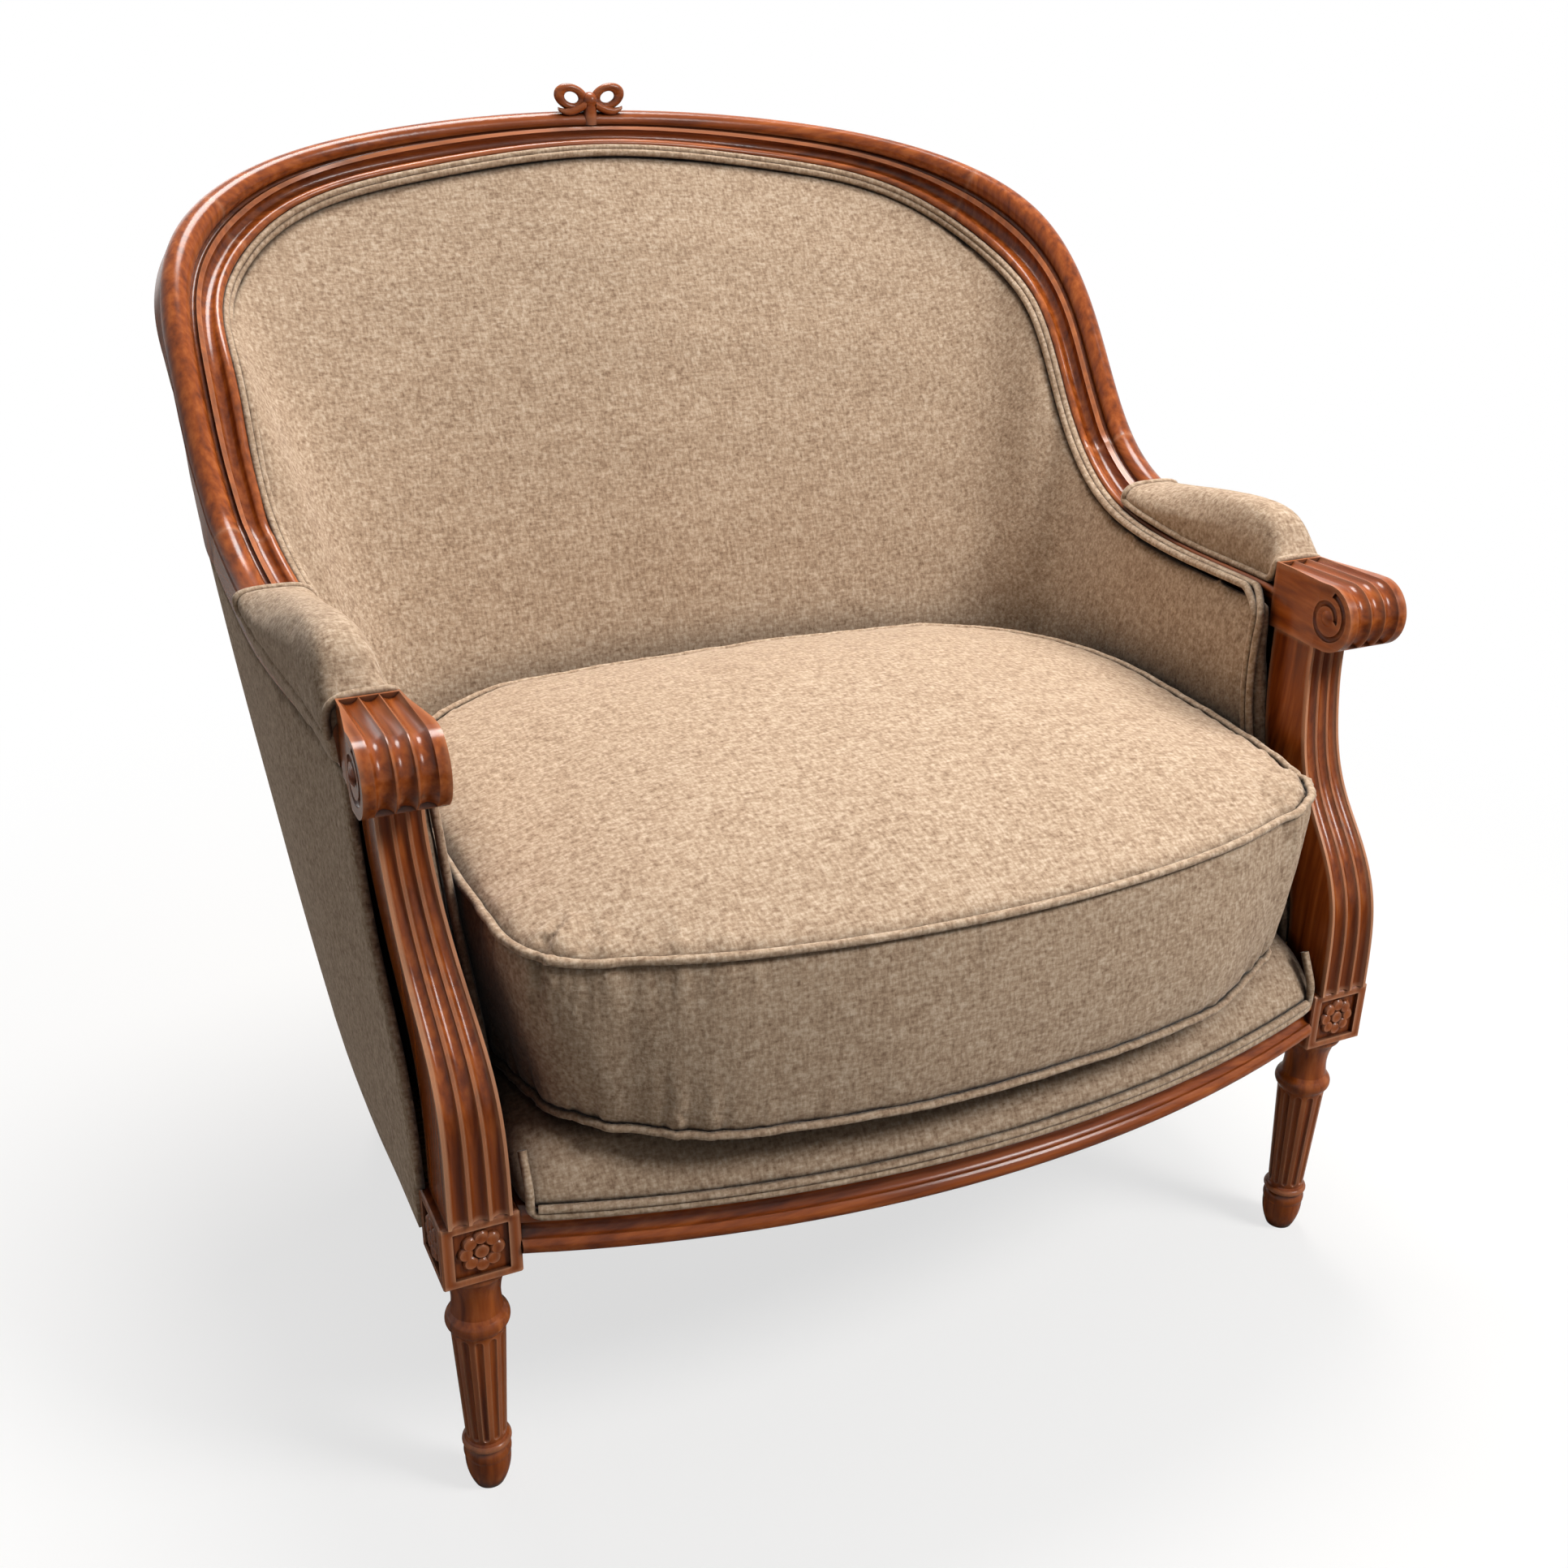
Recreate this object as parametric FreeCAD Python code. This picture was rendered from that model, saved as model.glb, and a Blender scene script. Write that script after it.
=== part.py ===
import FreeCAD, Part
import math
import os

V = FreeCAD.Vector
os.makedirs("parts", exist_ok=True)

# Overall stance. The working frame has its Y zero on the front leg line and its floor at Z zero.
LEG_X = 380.0
BLOCK_SIZE = 58.0
BLOCK_BOTTOM = 213.0
RAIL_BOTTOM = 228.0
RAIL_TOP = 266.0
RAIL_DEPTH = 44.0
RAIL_SETBACK = 30.0
RAIL_BOW = 61.0
SIDE_OUT = 31.0
SEAT_DEPTH = 548.0

# Front legs.
FOOT_RADIUS = 11.5
FOOT_HEIGHT = 40.0
SHAFT_LOW = 15.6
SHAFT_HIGH = 20.5
COLLAR_Z = 161.0
COLLAR_RADIUS = 24.0
LEG_FLUTES = 12

# Arms and back frame.
ARM_X = 395.0
HANDLE_Z = 608.0
HANDLE_BACK_Y = 118.0
SCROLL_Y = 42.0
SCROLL_RADIUS = 28.0
SCROLL_WIDTH = 58.0
HANDLE_WIDTH = 44.0
ARM_DEPTH = 34.0
BACK_HALF_WIDTH = 446.0
BACK_TOP_Y = 775.0
BACK_TOP_Z = 925.0
STILE_FOOT_Y = 428.0
STILE_FOOT_Z = 642.0
FRAME_DEPTH = 42.0
SHOULDER_EASE = 12.0
SUPPORT_HALF_LOW = 23.0
SUPPORT_HALF_HIGH = 17.0
FLUTE_COUNT = 3

# Rear legs and posts.
POST_SIZE = 40.0
POST_TOP = 16.0
REAR_FOOT = 26.0
REAR_RAKE = 50.0

# Upholstery.
PANEL = 6.0
POST_GAP = 3.5
PAD_FOOT_Z = 286.0
PAD_THICK = 34.0
CORNER_EASE = 9.0
ARM_THICK = 31.0
BACK_BULGE = 44.0
ARM_BULGE = 6.0
INNER_X = 356.0
INNER_BACK_Y = 471.0
WELT = 9.0
WELT_CLEAR = 1.6
PAD_TUCK = 13.0
ARM_PAD_CROWN = 56.0
PLATFORM_TOP = 328.0
PLATFORM_GAP = 4.0
BORDER_BULGE = 4.0
WEB_WIDTH = 50.0
WEB_THICK = 2.0
LONG_WEBS = 6
LONG_PITCH = 92.0
CROSS_WEBS = 5
CROSS_PITCH = 80.0
CROSS_START = 70.0
WEB_SETBACK = 22.0
DUST_THICK = 1.5

# Loose cushion.
CUSHION_HALF = 344.0
CUSHION_FRONT = 84.0
CUSHION_BOW = 40.0
CUSHION_BACK_Y = 459.0
CUSHION_CORNER = 66.0
BOXING = 128.0
CUSHION_CROWN = 40.0
BOXING_BULGE = 5.0
COVER_THICK = 2.0
WELT_RADIUS = 3.5

# Clearances.
SEAT_GAP = 0.3
SOFT_GAP = 0.6
DOWEL_RADIUS = 5.0
DOWEL_LENGTH = 30.0


def unit(a):
    return a * (1.0 / a.Length)


def mirrored(shape):
    return shape.mirror(V(0, 0, 0), V(1, 0, 0))


def wire_of(start, steps, place):
    """Closed wire in a plane: place maps (u, v) to a point; steps are lines or three-point arcs."""
    edges = []
    here = place(*start)
    for step in steps:
        if len(step) == 1:
            there = place(*step[0])
            edges.append(Part.makeLine(here, there))
        else:
            there = place(*step[1])
            edges.append(Part.Arc(here, place(*step[0]), there).toShape())
        here = there
    return Part.Wire(edges)


def loft(wires):
    return Part.makeLoft(wires, True, False, False, 5)


def prism(points, direction):
    return Part.Face(Part.makePolygon(points + [points[0]])).extrude(direction)


def spline(points, params=None):
    curve = Part.BSplineCurve()
    if params is None:
        curve.interpolate(points)
    else:
        curve.interpolate(Points=points, Parameters=params)
    return curve


def curve_1d(pairs):
    """Smooth function through (position, value) pairs with rising positions."""
    curve = spline([V(a, b, 0) for a, b in pairs], [a for a, b in pairs])
    return lambda a: curve.value(a).y


def drawn(sections):
    """Solid drawn through closed point sections: each corner runs on one smooth curve."""
    run = [0.0]
    for first, second in zip(sections, sections[1:]):
        step = sum((b - a).Length for a, b in zip(first, second)) / len(first)
        run.append(run[-1] + step)
    count = len(sections[0])
    edges = [spline([sec[j] for sec in sections], run).toShape() for j in range(count)]
    faces = [Part.makeRuledSurface(edges[j], edges[(j + 1) % count]) for j in range(count)]
    for sec in (sections[0], sections[-1]):
        faces.append(Part.Face(Part.makePolygon(sec + [sec[0]])))
    shell = Part.makeShell(faces)
    shell.sewShape()
    solid = Part.makeSolid(shell)
    if solid.Volume < 0:
        solid.reverse()
    return solid


def biggest(shape):
    return max(shape.Solids, key=lambda s: s.Volume)


# Back and arm line: outer and inner edge of the moulded frame, from the arm front to the crest middle.
ARM_RUN = STILE_FOOT_Y - HANDLE_BACK_Y
BACK_RUN = BACK_TOP_Y - STILE_FOOT_Y
BACK_RISE = BACK_TOP_Z - STILE_FOOT_Z
ARM_Z = HANDLE_Z - 16.0
ARM_RISE = STILE_FOOT_Z - ARM_Z
HALF_HANDLE = HANDLE_WIDTH / 2


def arm_point(x, fy, fz):
    return V(x, HANDLE_BACK_Y + fy * ARM_RUN, ARM_Z + fz * ARM_RISE)


def back_point(fx, fy, fz):
    return V(fx * BACK_HALF_WIDTH, STILE_FOOT_Y + fy * BACK_RUN, STILE_FOOT_Z + fz * BACK_RISE)


OUTER_HALF = [
    arm_point(ARM_X + HALF_HANDLE, 0.0, 0.0),
    arm_point(ARM_X + HALF_HANDLE + 4, 0.30, 0.08),
    arm_point(ARM_X + HALF_HANDLE + 13, 0.65, 0.28),
    arm_point(ARM_X + HALF_HANDLE + 18, 0.86, 0.56),
    back_point(0.984, 0.0, 0.0),
    back_point(1.0, 0.277, 0.382),
    back_point(0.946, 0.527, 0.686),
    back_point(0.735, 0.815, 0.873),
    back_point(0.415, 0.968, 0.965),
    back_point(0.0, 1.0, 1.0),
]
FACE_DROP = [
    V(-44, 0, -8), V(-47, -1, -13), V(-51, 2, -20), V(-49, 7, -20), V(-45, 17, -16),
    V(-49, 12, -15), V(-35, 12, -46), V(-17, -5, -40), V(-8, -24, -36), V(0, -30, -30),
]
INNER_HALF = [a + b for a, b in zip(OUTER_HALF, FACE_DROP)]
STATION = [0.0]
for first, second in zip(OUTER_HALF, OUTER_HALF[1:]):
    STATION.append(STATION[-1] + (second - first).Length)
MIDDLE = STATION[-1]
JUNCTION = STATION[4]
SHOULDER = 0.5 * (STATION[6] + STATION[7])


def symmetric(half):
    back = [V(-p.x, p.y, p.z) for p in reversed(half[:-1])]
    return spline(half + back, STATION + [2 * MIDDLE - s for s in reversed(STATION[:-1])])


OUTER = symmetric(OUTER_HALF)
INNER = symmetric(INNER_HALF)


def frame_depth(s):
    a = min(s, 2 * MIDDLE - s)
    t = max(0.0, min(1.0, a / JUNCTION))
    return ARM_DEPTH + (FRAME_DEPTH - ARM_DEPTH) * t * t * (3 - 2 * t)


# Share of the face width that the underside keeps: the outer side of the frame draws in to the fabric.
back_corner = curve_1d(list(zip(STATION, [0.88, 0.86, 0.82, 0.76, 0.72, 0.70, 0.68, 0.72, 0.85, 0.90])))

# Rise of the underside towards its inner edge, which leaves room for the outside panel at the shoulders.
back_ease = curve_1d(list(zip(STATION, [0.0, 0.0, 0.0, 0.0, 0.0, 0.0, 0.5, 1.0, 0.5, 0.2])))


class Station:
    """Moving frame of the back line: u runs across the moulded face, n stands on it."""

    def __init__(self, s):
        self.inner = INNER.value(s)
        self.outer = OUTER.value(s)
        self.width = (self.outer - self.inner).Length
        self.u = unit(self.outer - self.inner)
        run = unit(INNER.getD1(s)[1] + OUTER.getD1(s)[1])
        self.n = unit(self.u.cross(run))
        self.depth = frame_depth(s)
        self.corner = back_corner(min(s, 2 * MIDDLE - s)) * self.width
        self.ease = back_ease(min(s, 2 * MIDDLE - s)) * SHOULDER_EASE

    def at(self, u, v):
        return self.inner + self.u * u + self.n * v

    def under(self, u):
        return self.ease * (1 - u / self.corner) - self.depth


def moulding(s):
    """Section of the frame: inner bead, cove, flat fillet, quirk and outer torus."""
    st = Station(s)
    w = st.width
    d = st.depth
    steps = [
        [(0, -6)],
        [(0.07 * w, 0.4), (0.17 * w, -4)],
        [(0.30 * w, -9), (0.43 * w, -4)],
        [(0.43 * w, -1.5)],
        [(0.52 * w, -1.5)],
        [(0.56 * w, -5.5), (0.61 * w, -3)],
        [(0.85 * w, 1.5), (w, -14)],
        [(st.corner, -d)],
        [(0, st.under(0))],
    ]
    return wire_of((0, st.under(0)), steps, st.at)


def spread(a, b, count):
    return [a + (b - a) * i / (count - 1) for i in range(count)]


def dowel(centre, axis, length=DOWEL_LENGTH, radius=DOWEL_RADIUS):
    return Part.makeCylinder(radius, length, centre - axis * (length / 2), axis)


crest_rail = loft([moulding(s) for s in spread(SHOULDER, 2 * MIDDLE - SHOULDER, 19)])
stile = loft([moulding(s) for s in spread(JUNCTION, SHOULDER, 11)])
arm_bar = loft([moulding(s) for s in spread(0.0, JUNCTION, 13)])

# Arm handle with its rolled scroll.
SCROLL_Z = HANDLE_Z + 3 - SCROLL_RADIUS
HANDLE_UNDER = ARM_Z - ARM_DEPTH - 6
ring_y = SCROLL_Y - SCROLL_RADIUS
side_low = V(0, HANDLE_BACK_Y, HANDLE_UNDER)
side_high = V(0, HANDLE_BACK_Y, HANDLE_Z)
roll_low = V(0, SCROLL_Y, SCROLL_Z - SCROLL_RADIUS)
roll_tip = V(0, ring_y, SCROLL_Z)
roll_high = V(0, SCROLL_Y, SCROLL_Z + SCROLL_RADIUS)
DIAG = SCROLL_RADIUS * math.sqrt(0.5)
side_edges = [
    Part.makeLine(side_high, side_low),
    Part.makeLine(side_low, roll_low),
    Part.Arc(roll_low, V(0, SCROLL_Y - DIAG, SCROLL_Z - DIAG), roll_tip).toShape(),
    Part.Arc(roll_tip, V(0, SCROLL_Y - DIAG, SCROLL_Z + DIAG), roll_high).toShape(),
    Part.makeLine(roll_high, side_high),
]
half_roll = SCROLL_WIDTH / 2
handle = Part.Face(Part.Wire(side_edges)).extrude(V(SCROLL_WIDTH, 0, 0))
handle.translate(V(ARM_X - half_roll, 0, 0))
taper = [(HALF_HANDLE, HANDLE_BACK_Y), (HALF_HANDLE + 1, HANDLE_BACK_Y - 20),
         (half_roll, SCROLL_Y + 12), (half_roll, ring_y - 5)]
plan = [V(ARM_X + x, y, HANDLE_UNDER - 20) for x, y in taper]
plan = plan + [V(ARM_X - x, y, HANDLE_UNDER - 20) for x, y in reversed(taper)]
handle = handle.common(prism(plan, V(0, 0, 150)))
FLUTE_R = 7.5
FLUTE_LIFT = 3.6
for i in range(FLUTE_COUNT):
    x = ARM_X + (i - (FLUTE_COUNT - 1) / 2) * 14.0
    r = SCROLL_RADIUS + FLUTE_LIFT
    a = math.radians(55)
    path = Part.Wire([
        Part.makeLine(V(x, HANDLE_BACK_Y - 4, HANDLE_Z + FLUTE_LIFT), V(x, SCROLL_Y, SCROLL_Z + r)),
        Part.Arc(V(x, SCROLL_Y, SCROLL_Z + r), V(x, SCROLL_Y - r * math.sin(1.1), SCROLL_Z + r * math.cos(1.1)),
                 V(x, SCROLL_Y - r * math.cos(a), SCROLL_Z - r * math.sin(a))).toShape(),
    ])
    ring = Part.Wire([Part.makeCircle(FLUTE_R, V(x, HANDLE_BACK_Y - 4, HANDLE_Z + FLUTE_LIFT), V(0, 1, 0))])
    handle = handle.cut(path.makePipeShell([ring], True, False))
for side in (-1, 1):
    face_x = ARM_X + side * half_roll
    turn = []
    for i in range(15):
        a = math.radians(100 + i * 32)
        r = 21.5 - 0.86 * i
        turn.append(V(face_x, SCROLL_Y + r * math.cos(a), SCROLL_Z + r * math.sin(a)))
    groove = Part.Wire([spline(turn).toShape()])
    tip = Part.Wire([Part.makeCircle(2.6, turn[0], unit(turn[1] - turn[0]))])
    handle = handle.cut(groove.makePipeShell([tip], True, True))
    eye = Part.makeSphere(9.0, V(face_x - side * 6.2, SCROLL_Y, SCROLL_Z))
    handle = handle.fuse(eye)
arm_rail = arm_bar.fuse(handle).removeSplitter()

# S-curved arm support with a fluted front.
SUPPORT_LOW = BLOCK_BOTTOM + BLOCK_SIZE - 4
SUPPORT_HIGH = HANDLE_UNDER
SUPPORT_RISE = SUPPORT_HIGH - SUPPORT_LOW
support_front = curve_1d([(0, -32), (0.08, -31.5), (0.19, -30), (0.29, -25), (0.38, -14), (0.47, 5),
                          (0.55, 25), (0.66, 44), (0.78, 55), (0.90, 61), (1.0, 62)])
support_back = curve_1d([(0, 20), (0.08, 20.5), (0.19, 23), (0.29, 31), (0.38, 44), (0.47, 63),
                         (0.55, 80), (0.66, 96), (0.78, 106), (0.90, 111), (1.0, 112)])
support_lean = curve_1d([(0, 0), (0.2, 0), (0.38, 0.08), (0.55, 0.33), (0.72, 0.66), (0.9, 0.95), (1.0, 1.0)])


def support_section(t):
    half = SUPPORT_HALF_LOW + (SUPPORT_HALF_HIGH - SUPPORT_HALF_LOW) * t * t * (3 - 2 * t)
    middle = LEG_X + (ARM_X - 3 - LEG_X) * support_lean(t)
    front = support_front(t)
    back = support_back(t)
    z = SUPPORT_LOW + SUPPORT_RISE * t
    edge = 2.4
    rib = 2.2
    flute = (2 * half - 2 * edge - rib * (FLUTE_COUNT - 1)) / FLUTE_COUNT
    steps = []
    u = -half + edge
    steps.append([(u, front)])
    for i in range(FLUTE_COUNT):
        steps.append([(u + flute / 2, front + 0.36 * flute), (u + flute, front)])
        u = u + flute
        if i < FLUTE_COUNT - 1:
            steps.append([(u + rib, front)])
            u = u + rib
    steps.append([(half, front)])
    steps.append([(half, back)])
    steps.append([(-half, back)])
    steps.append([(-half, front)])
    return wire_of((-half, front), steps, lambda x, y: V(middle + x, y, z))


arm_support = loft([support_section(t) for t in spread(0.0, 1.0, 14)])


def behind_support(gap, thick=1000.0):
    """Region in front of the support's back edge, used to trim panels to its S curve."""
    points = []
    for t in spread(0.0, 1.0, 15):
        points.append(V(0, support_back(t) + gap, SUPPORT_LOW + SUPPORT_RISE * t))
    edge = spline(points).toShape()
    top = V(0, points[-1].y, HANDLE_Z + 80)
    bottom = V(0, points[0].y, RAIL_BOTTOM - 40)
    far_top = V(0, -300, HANDLE_Z + 80)
    far_low = V(0, -300, RAIL_BOTTOM - 40)
    ring = Part.Wire([
        Part.makeLine(bottom, points[0]), edge, Part.makeLine(points[-1], top),
        Part.makeLine(top, far_top), Part.makeLine(far_top, far_low), Part.makeLine(far_low, bottom)])
    body = Part.Face(ring).extrude(V(thick, 0, 0))
    return body


# Turned and fluted front leg with a carved block.
def turned(points):
    edges = []
    here = V(0, 0, points[0][1])
    edges.append(Part.makeLine(here, V(points[0][0], 0, points[0][1])))
    here = V(points[0][0], 0, points[0][1])
    for item in points[1:]:
        if len(item) == 2:
            there = V(item[0], 0, item[1])
            edges.append(Part.makeLine(here, there))
        else:
            there = V(item[2], 0, item[3])
            edges.append(Part.Arc(here, V(item[0], 0, item[1]), there).toShape())
        here = there
    edges.append(Part.makeLine(here, V(0, 0, here.z)))
    edges.append(Part.makeLine(V(0, 0, here.z), V(0, 0, points[0][1])))
    return Part.Face(Part.Wire(edges)).revolve(V(0, 0, 0), V(0, 0, 1), 360)


RING = SHAFT_LOW + 3.2
SHAFT_FROM = FOOT_HEIGHT + 8
SHAFT_TO = COLLAR_Z - 8
profile = [
    (FOOT_RADIUS, 0),
    (SHAFT_LOW + 0.2, 0.3 * FOOT_HEIGHT, SHAFT_LOW + 1.8, 0.72 * FOOT_HEIGHT),
    (SHAFT_LOW + 1.6, 0.92 * FOOT_HEIGHT, SHAFT_LOW - 1.0, FOOT_HEIGHT),
    (RING - 2, FOOT_HEIGHT),
    (RING, FOOT_HEIGHT + 3, RING - 2, FOOT_HEIGHT + 6),
    (SHAFT_LOW, SHAFT_FROM),
    (SHAFT_HIGH, SHAFT_TO),
    (COLLAR_RADIUS - 2.5, COLLAR_Z - 6),
    (COLLAR_RADIUS, COLLAR_Z, COLLAR_RADIUS - 2.5, COLLAR_Z + 6),
    (SHAFT_HIGH - 1, COLLAR_Z + 9),
    (SHAFT_HIGH - 2.2, COLLAR_Z + 24, SHAFT_HIGH + 3, BLOCK_BOTTOM - 8),
    (SHAFT_HIGH + 6, BLOCK_BOTTOM - 5, SHAFT_HIGH + 5, BLOCK_BOTTOM),
]
leg = turned(profile)
cutters = []
for i in range(LEG_FLUTES):
    low = V(SHAFT_LOW + 1.3, 0, SHAFT_FROM + 5)
    high = V(SHAFT_HIGH + 1.4, 0, SHAFT_TO - 5)
    cone = Part.makeCone(2.7, 3.6, (high - low).Length, low, unit(high - low))
    cone = cone.fuse(Part.makeSphere(2.7, low)).fuse(Part.makeSphere(3.6, high))
    cone.rotate(V(0, 0, 0), V(0, 0, 1), 360.0 * i / LEG_FLUTES + 15)
    cutters.append(cone)
leg = leg.cut(Part.makeCompound(cutters))
half = BLOCK_SIZE / 2
block = Part.makeBox(BLOCK_SIZE, BLOCK_SIZE, BLOCK_SIZE - 4, V(-half, -half, BLOCK_BOTTOM))
block = block.makeChamfer(1.2, block.Edges)
BLOCK_MID = BLOCK_BOTTOM + (BLOCK_SIZE - 4) / 2
panel = Part.makeBox(40, 3, 40, V(-20, -half, BLOCK_MID - 20))
carving = [Part.makeSphere(6.4, V(0, -half + 4.2, BLOCK_MID))]
for i in range(8):
    a = math.radians(45 * i)
    carving.append(Part.makeSphere(6.6, V(11.5 * math.cos(a), -half + 5.0, BLOCK_MID + 11.5 * math.sin(a))))
rosette = carving[0].multiFuse(carving[1:])
front_face = panel.cut(rosette)
side_face = front_face.copy()
side_face.rotate(V(0, 0, 0), V(0, 0, 1), 90)
block = block.cut(front_face).cut(side_face)
leg = leg.fuse(block).removeSplitter()
leg.translate(V(LEG_X, 0, 0))

# Bowed front rail: a moulded section turned about the centre of the bow.
RAIL_END = LEG_X - BLOCK_SIZE / 2
BOW_RADIUS = (RAIL_END ** 2 + RAIL_BOW ** 2) / (2 * RAIL_BOW)
BOW_CENTRE = -RAIL_SETBACK - RAIL_BOW + BOW_RADIUS
RAIL_HEIGHT = RAIL_TOP - RAIL_BOTTOM


def rail_steps():
    """Moulded section of the front rail: bead, cove, fillet and eased top."""
    h = RAIL_HEIGHT
    depth = RAIL_DEPTH
    return (-depth, 0), [
        [(-2, 0)],
        [(1.5, 0.16 * h), (-2, 0.32 * h)],
        [(-4, 0.32 * h)],
        [(-8.5, 0.5 * h), (-4, 0.70 * h)],
        [(-2.5, 0.70 * h)],
        [(-2.5, 0.80 * h)],
        [(-4.0, 0.92 * h), (-8, h)],
        [(-depth, h)],
        [(-depth, 0)],
    ]


start, steps = rail_steps()
section = wire_of(start, steps, lambda u, v: V(0, BOW_CENTRE - BOW_RADIUS - u, RAIL_BOTTOM + v))
BOW_ANGLE = math.degrees(math.asin((RAIL_END + 12) / BOW_RADIUS))
front_rail = Part.Face(section).revolve(V(0, BOW_CENTRE, 0), V(0, 0, 1), 2 * BOW_ANGLE)
front_rail.rotate(V(0, BOW_CENTRE, 0), V(0, 0, 1), -BOW_ANGLE)
side_cut = Part.makeBox(200, 400, 400, V(RAIL_END, -250, 0))
front_rail = front_rail.cut(side_cut).cut(mirrored(side_cut))

# Seat line in plan: outside of the seat rails, from the front block round to the middle of the back.
SIDE_X = LEG_X + SIDE_OUT
BLOCK_BACK = BLOCK_SIZE / 2
REAR = SEAT_DEPTH


SEAT_START = BLOCK_BACK - 6


def seat_point(fx, fy):
    return V(fx * SIDE_X, SEAT_START + fy * (REAR - SEAT_START), 0)


SEAT_HALF = [seat_point(0.990, 0.0), seat_point(1.0, 0.17), seat_point(1.0, 0.35), seat_point(0.992, 0.55),
             seat_point(0.945, 0.76), seat_point(0.81, 0.905), seat_point(0.56, 0.975), seat_point(0.28, 0.995),
             seat_point(0.0, 1.0)]
SEAT_RUN = [0.0]
for first, second in zip(SEAT_HALF, SEAT_HALF[1:]):
    SEAT_RUN.append(SEAT_RUN[-1] + (second - first).Length)
SEAT_MID = SEAT_RUN[-1]
seat_back = [V(-p.x, p.y, 0) for p in reversed(SEAT_HALF[:-1])]
SEAT = spline(SEAT_HALF + seat_back, SEAT_RUN + [2 * SEAT_MID - s for s in reversed(SEAT_RUN[:-1])])


def seat_frame(s):
    p = SEAT.value(s)
    t = unit(SEAT.getD1(s)[1])
    return p, V(t.y, -t.x, 0)


def rail_section(s):
    """Plain section of a covered rail, with its face just inside the outside panel."""
    p, out = seat_frame(s)
    face = -PANEL - SOFT_GAP
    back = -RAIL_DEPTH
    steps = [[(face, 0)], [(face, RAIL_HEIGHT)], [(back, RAIL_HEIGHT)], [(back, 0)]]
    return wire_of((back, 0), steps, lambda u, v: p + out * u + V(0, 0, RAIL_BOTTOM + v))


POST_RUN = 0.25 * SEAT_RUN[4] + 0.75 * SEAT_RUN[5]
POST_STATION = 0.45 * STATION[7] + 0.55 * STATION[6]
post_foot, post_out = seat_frame(POST_RUN)
post_side = V(-post_out.y, post_out.x, 0)


def post_section(centre, across, along, out=None):
    out = out or post_out
    a = V(-out.y, out.x, 0) * (across / 2)
    b = out * (along / 2)
    return Part.makePolygon([centre - a - b, centre + a - b, centre + a + b, centre - a + b, centre - a - b])


top_station = Station(POST_STATION)
post_top = top_station.at(0.24 * top_station.width, -top_station.depth + SHOULDER_EASE + 8)
top_out = unit(V(-top_station.n.x, -top_station.n.y, 0))
rail_mid = post_foot - post_out * (PANEL + POST_GAP + POST_SIZE / 2)
POST_THICK = POST_SIZE - PANEL - POST_GAP
post_mid = post_foot - post_out * (PANEL + POST_GAP + POST_THICK / 2)
knee = V(rail_mid.x, rail_mid.y, RAIL_TOP)
knee_low = V(rail_mid.x, rail_mid.y, RAIL_BOTTOM - 10)
knee_high = V(post_mid.x, post_mid.y, RAIL_TOP)
foot = V(rail_mid.x, rail_mid.y + REAR_RAKE, 0)
shin = V(rail_mid.x, rail_mid.y + 0.22 * REAR_RAKE, 0.45 * RAIL_BOTTOM)
rear_low = loft([post_section(foot, REAR_FOOT, REAR_FOOT), post_section(shin, 33, 33),
                 post_section(knee_low, POST_SIZE, POST_SIZE)])
rear_mid = Part.Face(post_section(knee_low, POST_SIZE, POST_SIZE)).extrude(knee - knee_low)
post_high = Part.makeLoft([post_section(knee_high, POST_SIZE, POST_THICK),
                           post_section(post_top, 0.7 * POST_SIZE, POST_TOP, top_out)], True, True)
rear_leg = rear_low.fuse(rear_mid).fuse(post_high)
rear_leg = biggest(rear_leg.cut(stile).cut(crest_rail))

side_rail = loft([rail_section(s) for s in spread(0.0, POST_RUN, 9)])
rear_rail = loft([rail_section(s) for s in spread(POST_RUN, 2 * SEAT_MID - POST_RUN, 11)])
post_keep = Part.Face(post_section(knee_low + post_out * POST_GAP, POST_SIZE, POST_SIZE + 2 * POST_GAP))
post_keep = post_keep.extrude(V(0, 0, 200))
side_rail = biggest(side_rail.cut(post_keep).cut(prism(
    [post_foot + post_out * 200, post_foot - post_out * 200,
     post_foot - post_out * 200 + post_side * 300 * (1 if post_side.x < 0 else -1),
     post_foot + post_out * 200 + post_side * 300 * (1 if post_side.x < 0 else -1)], V(0, 0, 400))))
rear_rail = biggest(rear_rail.cut(post_keep).cut(mirrored(post_keep)))
leg_keep = Part.makeBox(BLOCK_SIZE, BLOCK_SIZE, 80, V(RAIL_END, -BLOCK_SIZE / 2, BLOCK_BOTTOM))
side_rail = biggest(side_rail.cut(leg_keep))

# Loose parts of the seat frame.
front_block = prism([V(RAIL_END - 75, -25, 0), V(SIDE_X - 20, -25, 0), V(SIDE_X - 20, 105, 0)], V(0, 0, RAIL_HEIGHT - 8))
front_block.translate(V(0, 0, RAIL_BOTTOM + 3))
corner_block = biggest(front_block.cut(front_rail).cut(side_rail).cut(leg_keep))

# Dowels across the frame's glued joints.
UP = V(0, 0, 1)
RAIL_MID = 0.5 * (RAIL_BOTTOM + RAIL_TOP)


def frame_dowel(s):
    st = Station(s)
    run = unit(INNER.getD1(s)[1] + OUTER.getD1(s)[1])
    return dowel(st.at(0.36 * st.width, -0.58 * st.depth), run)


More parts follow.
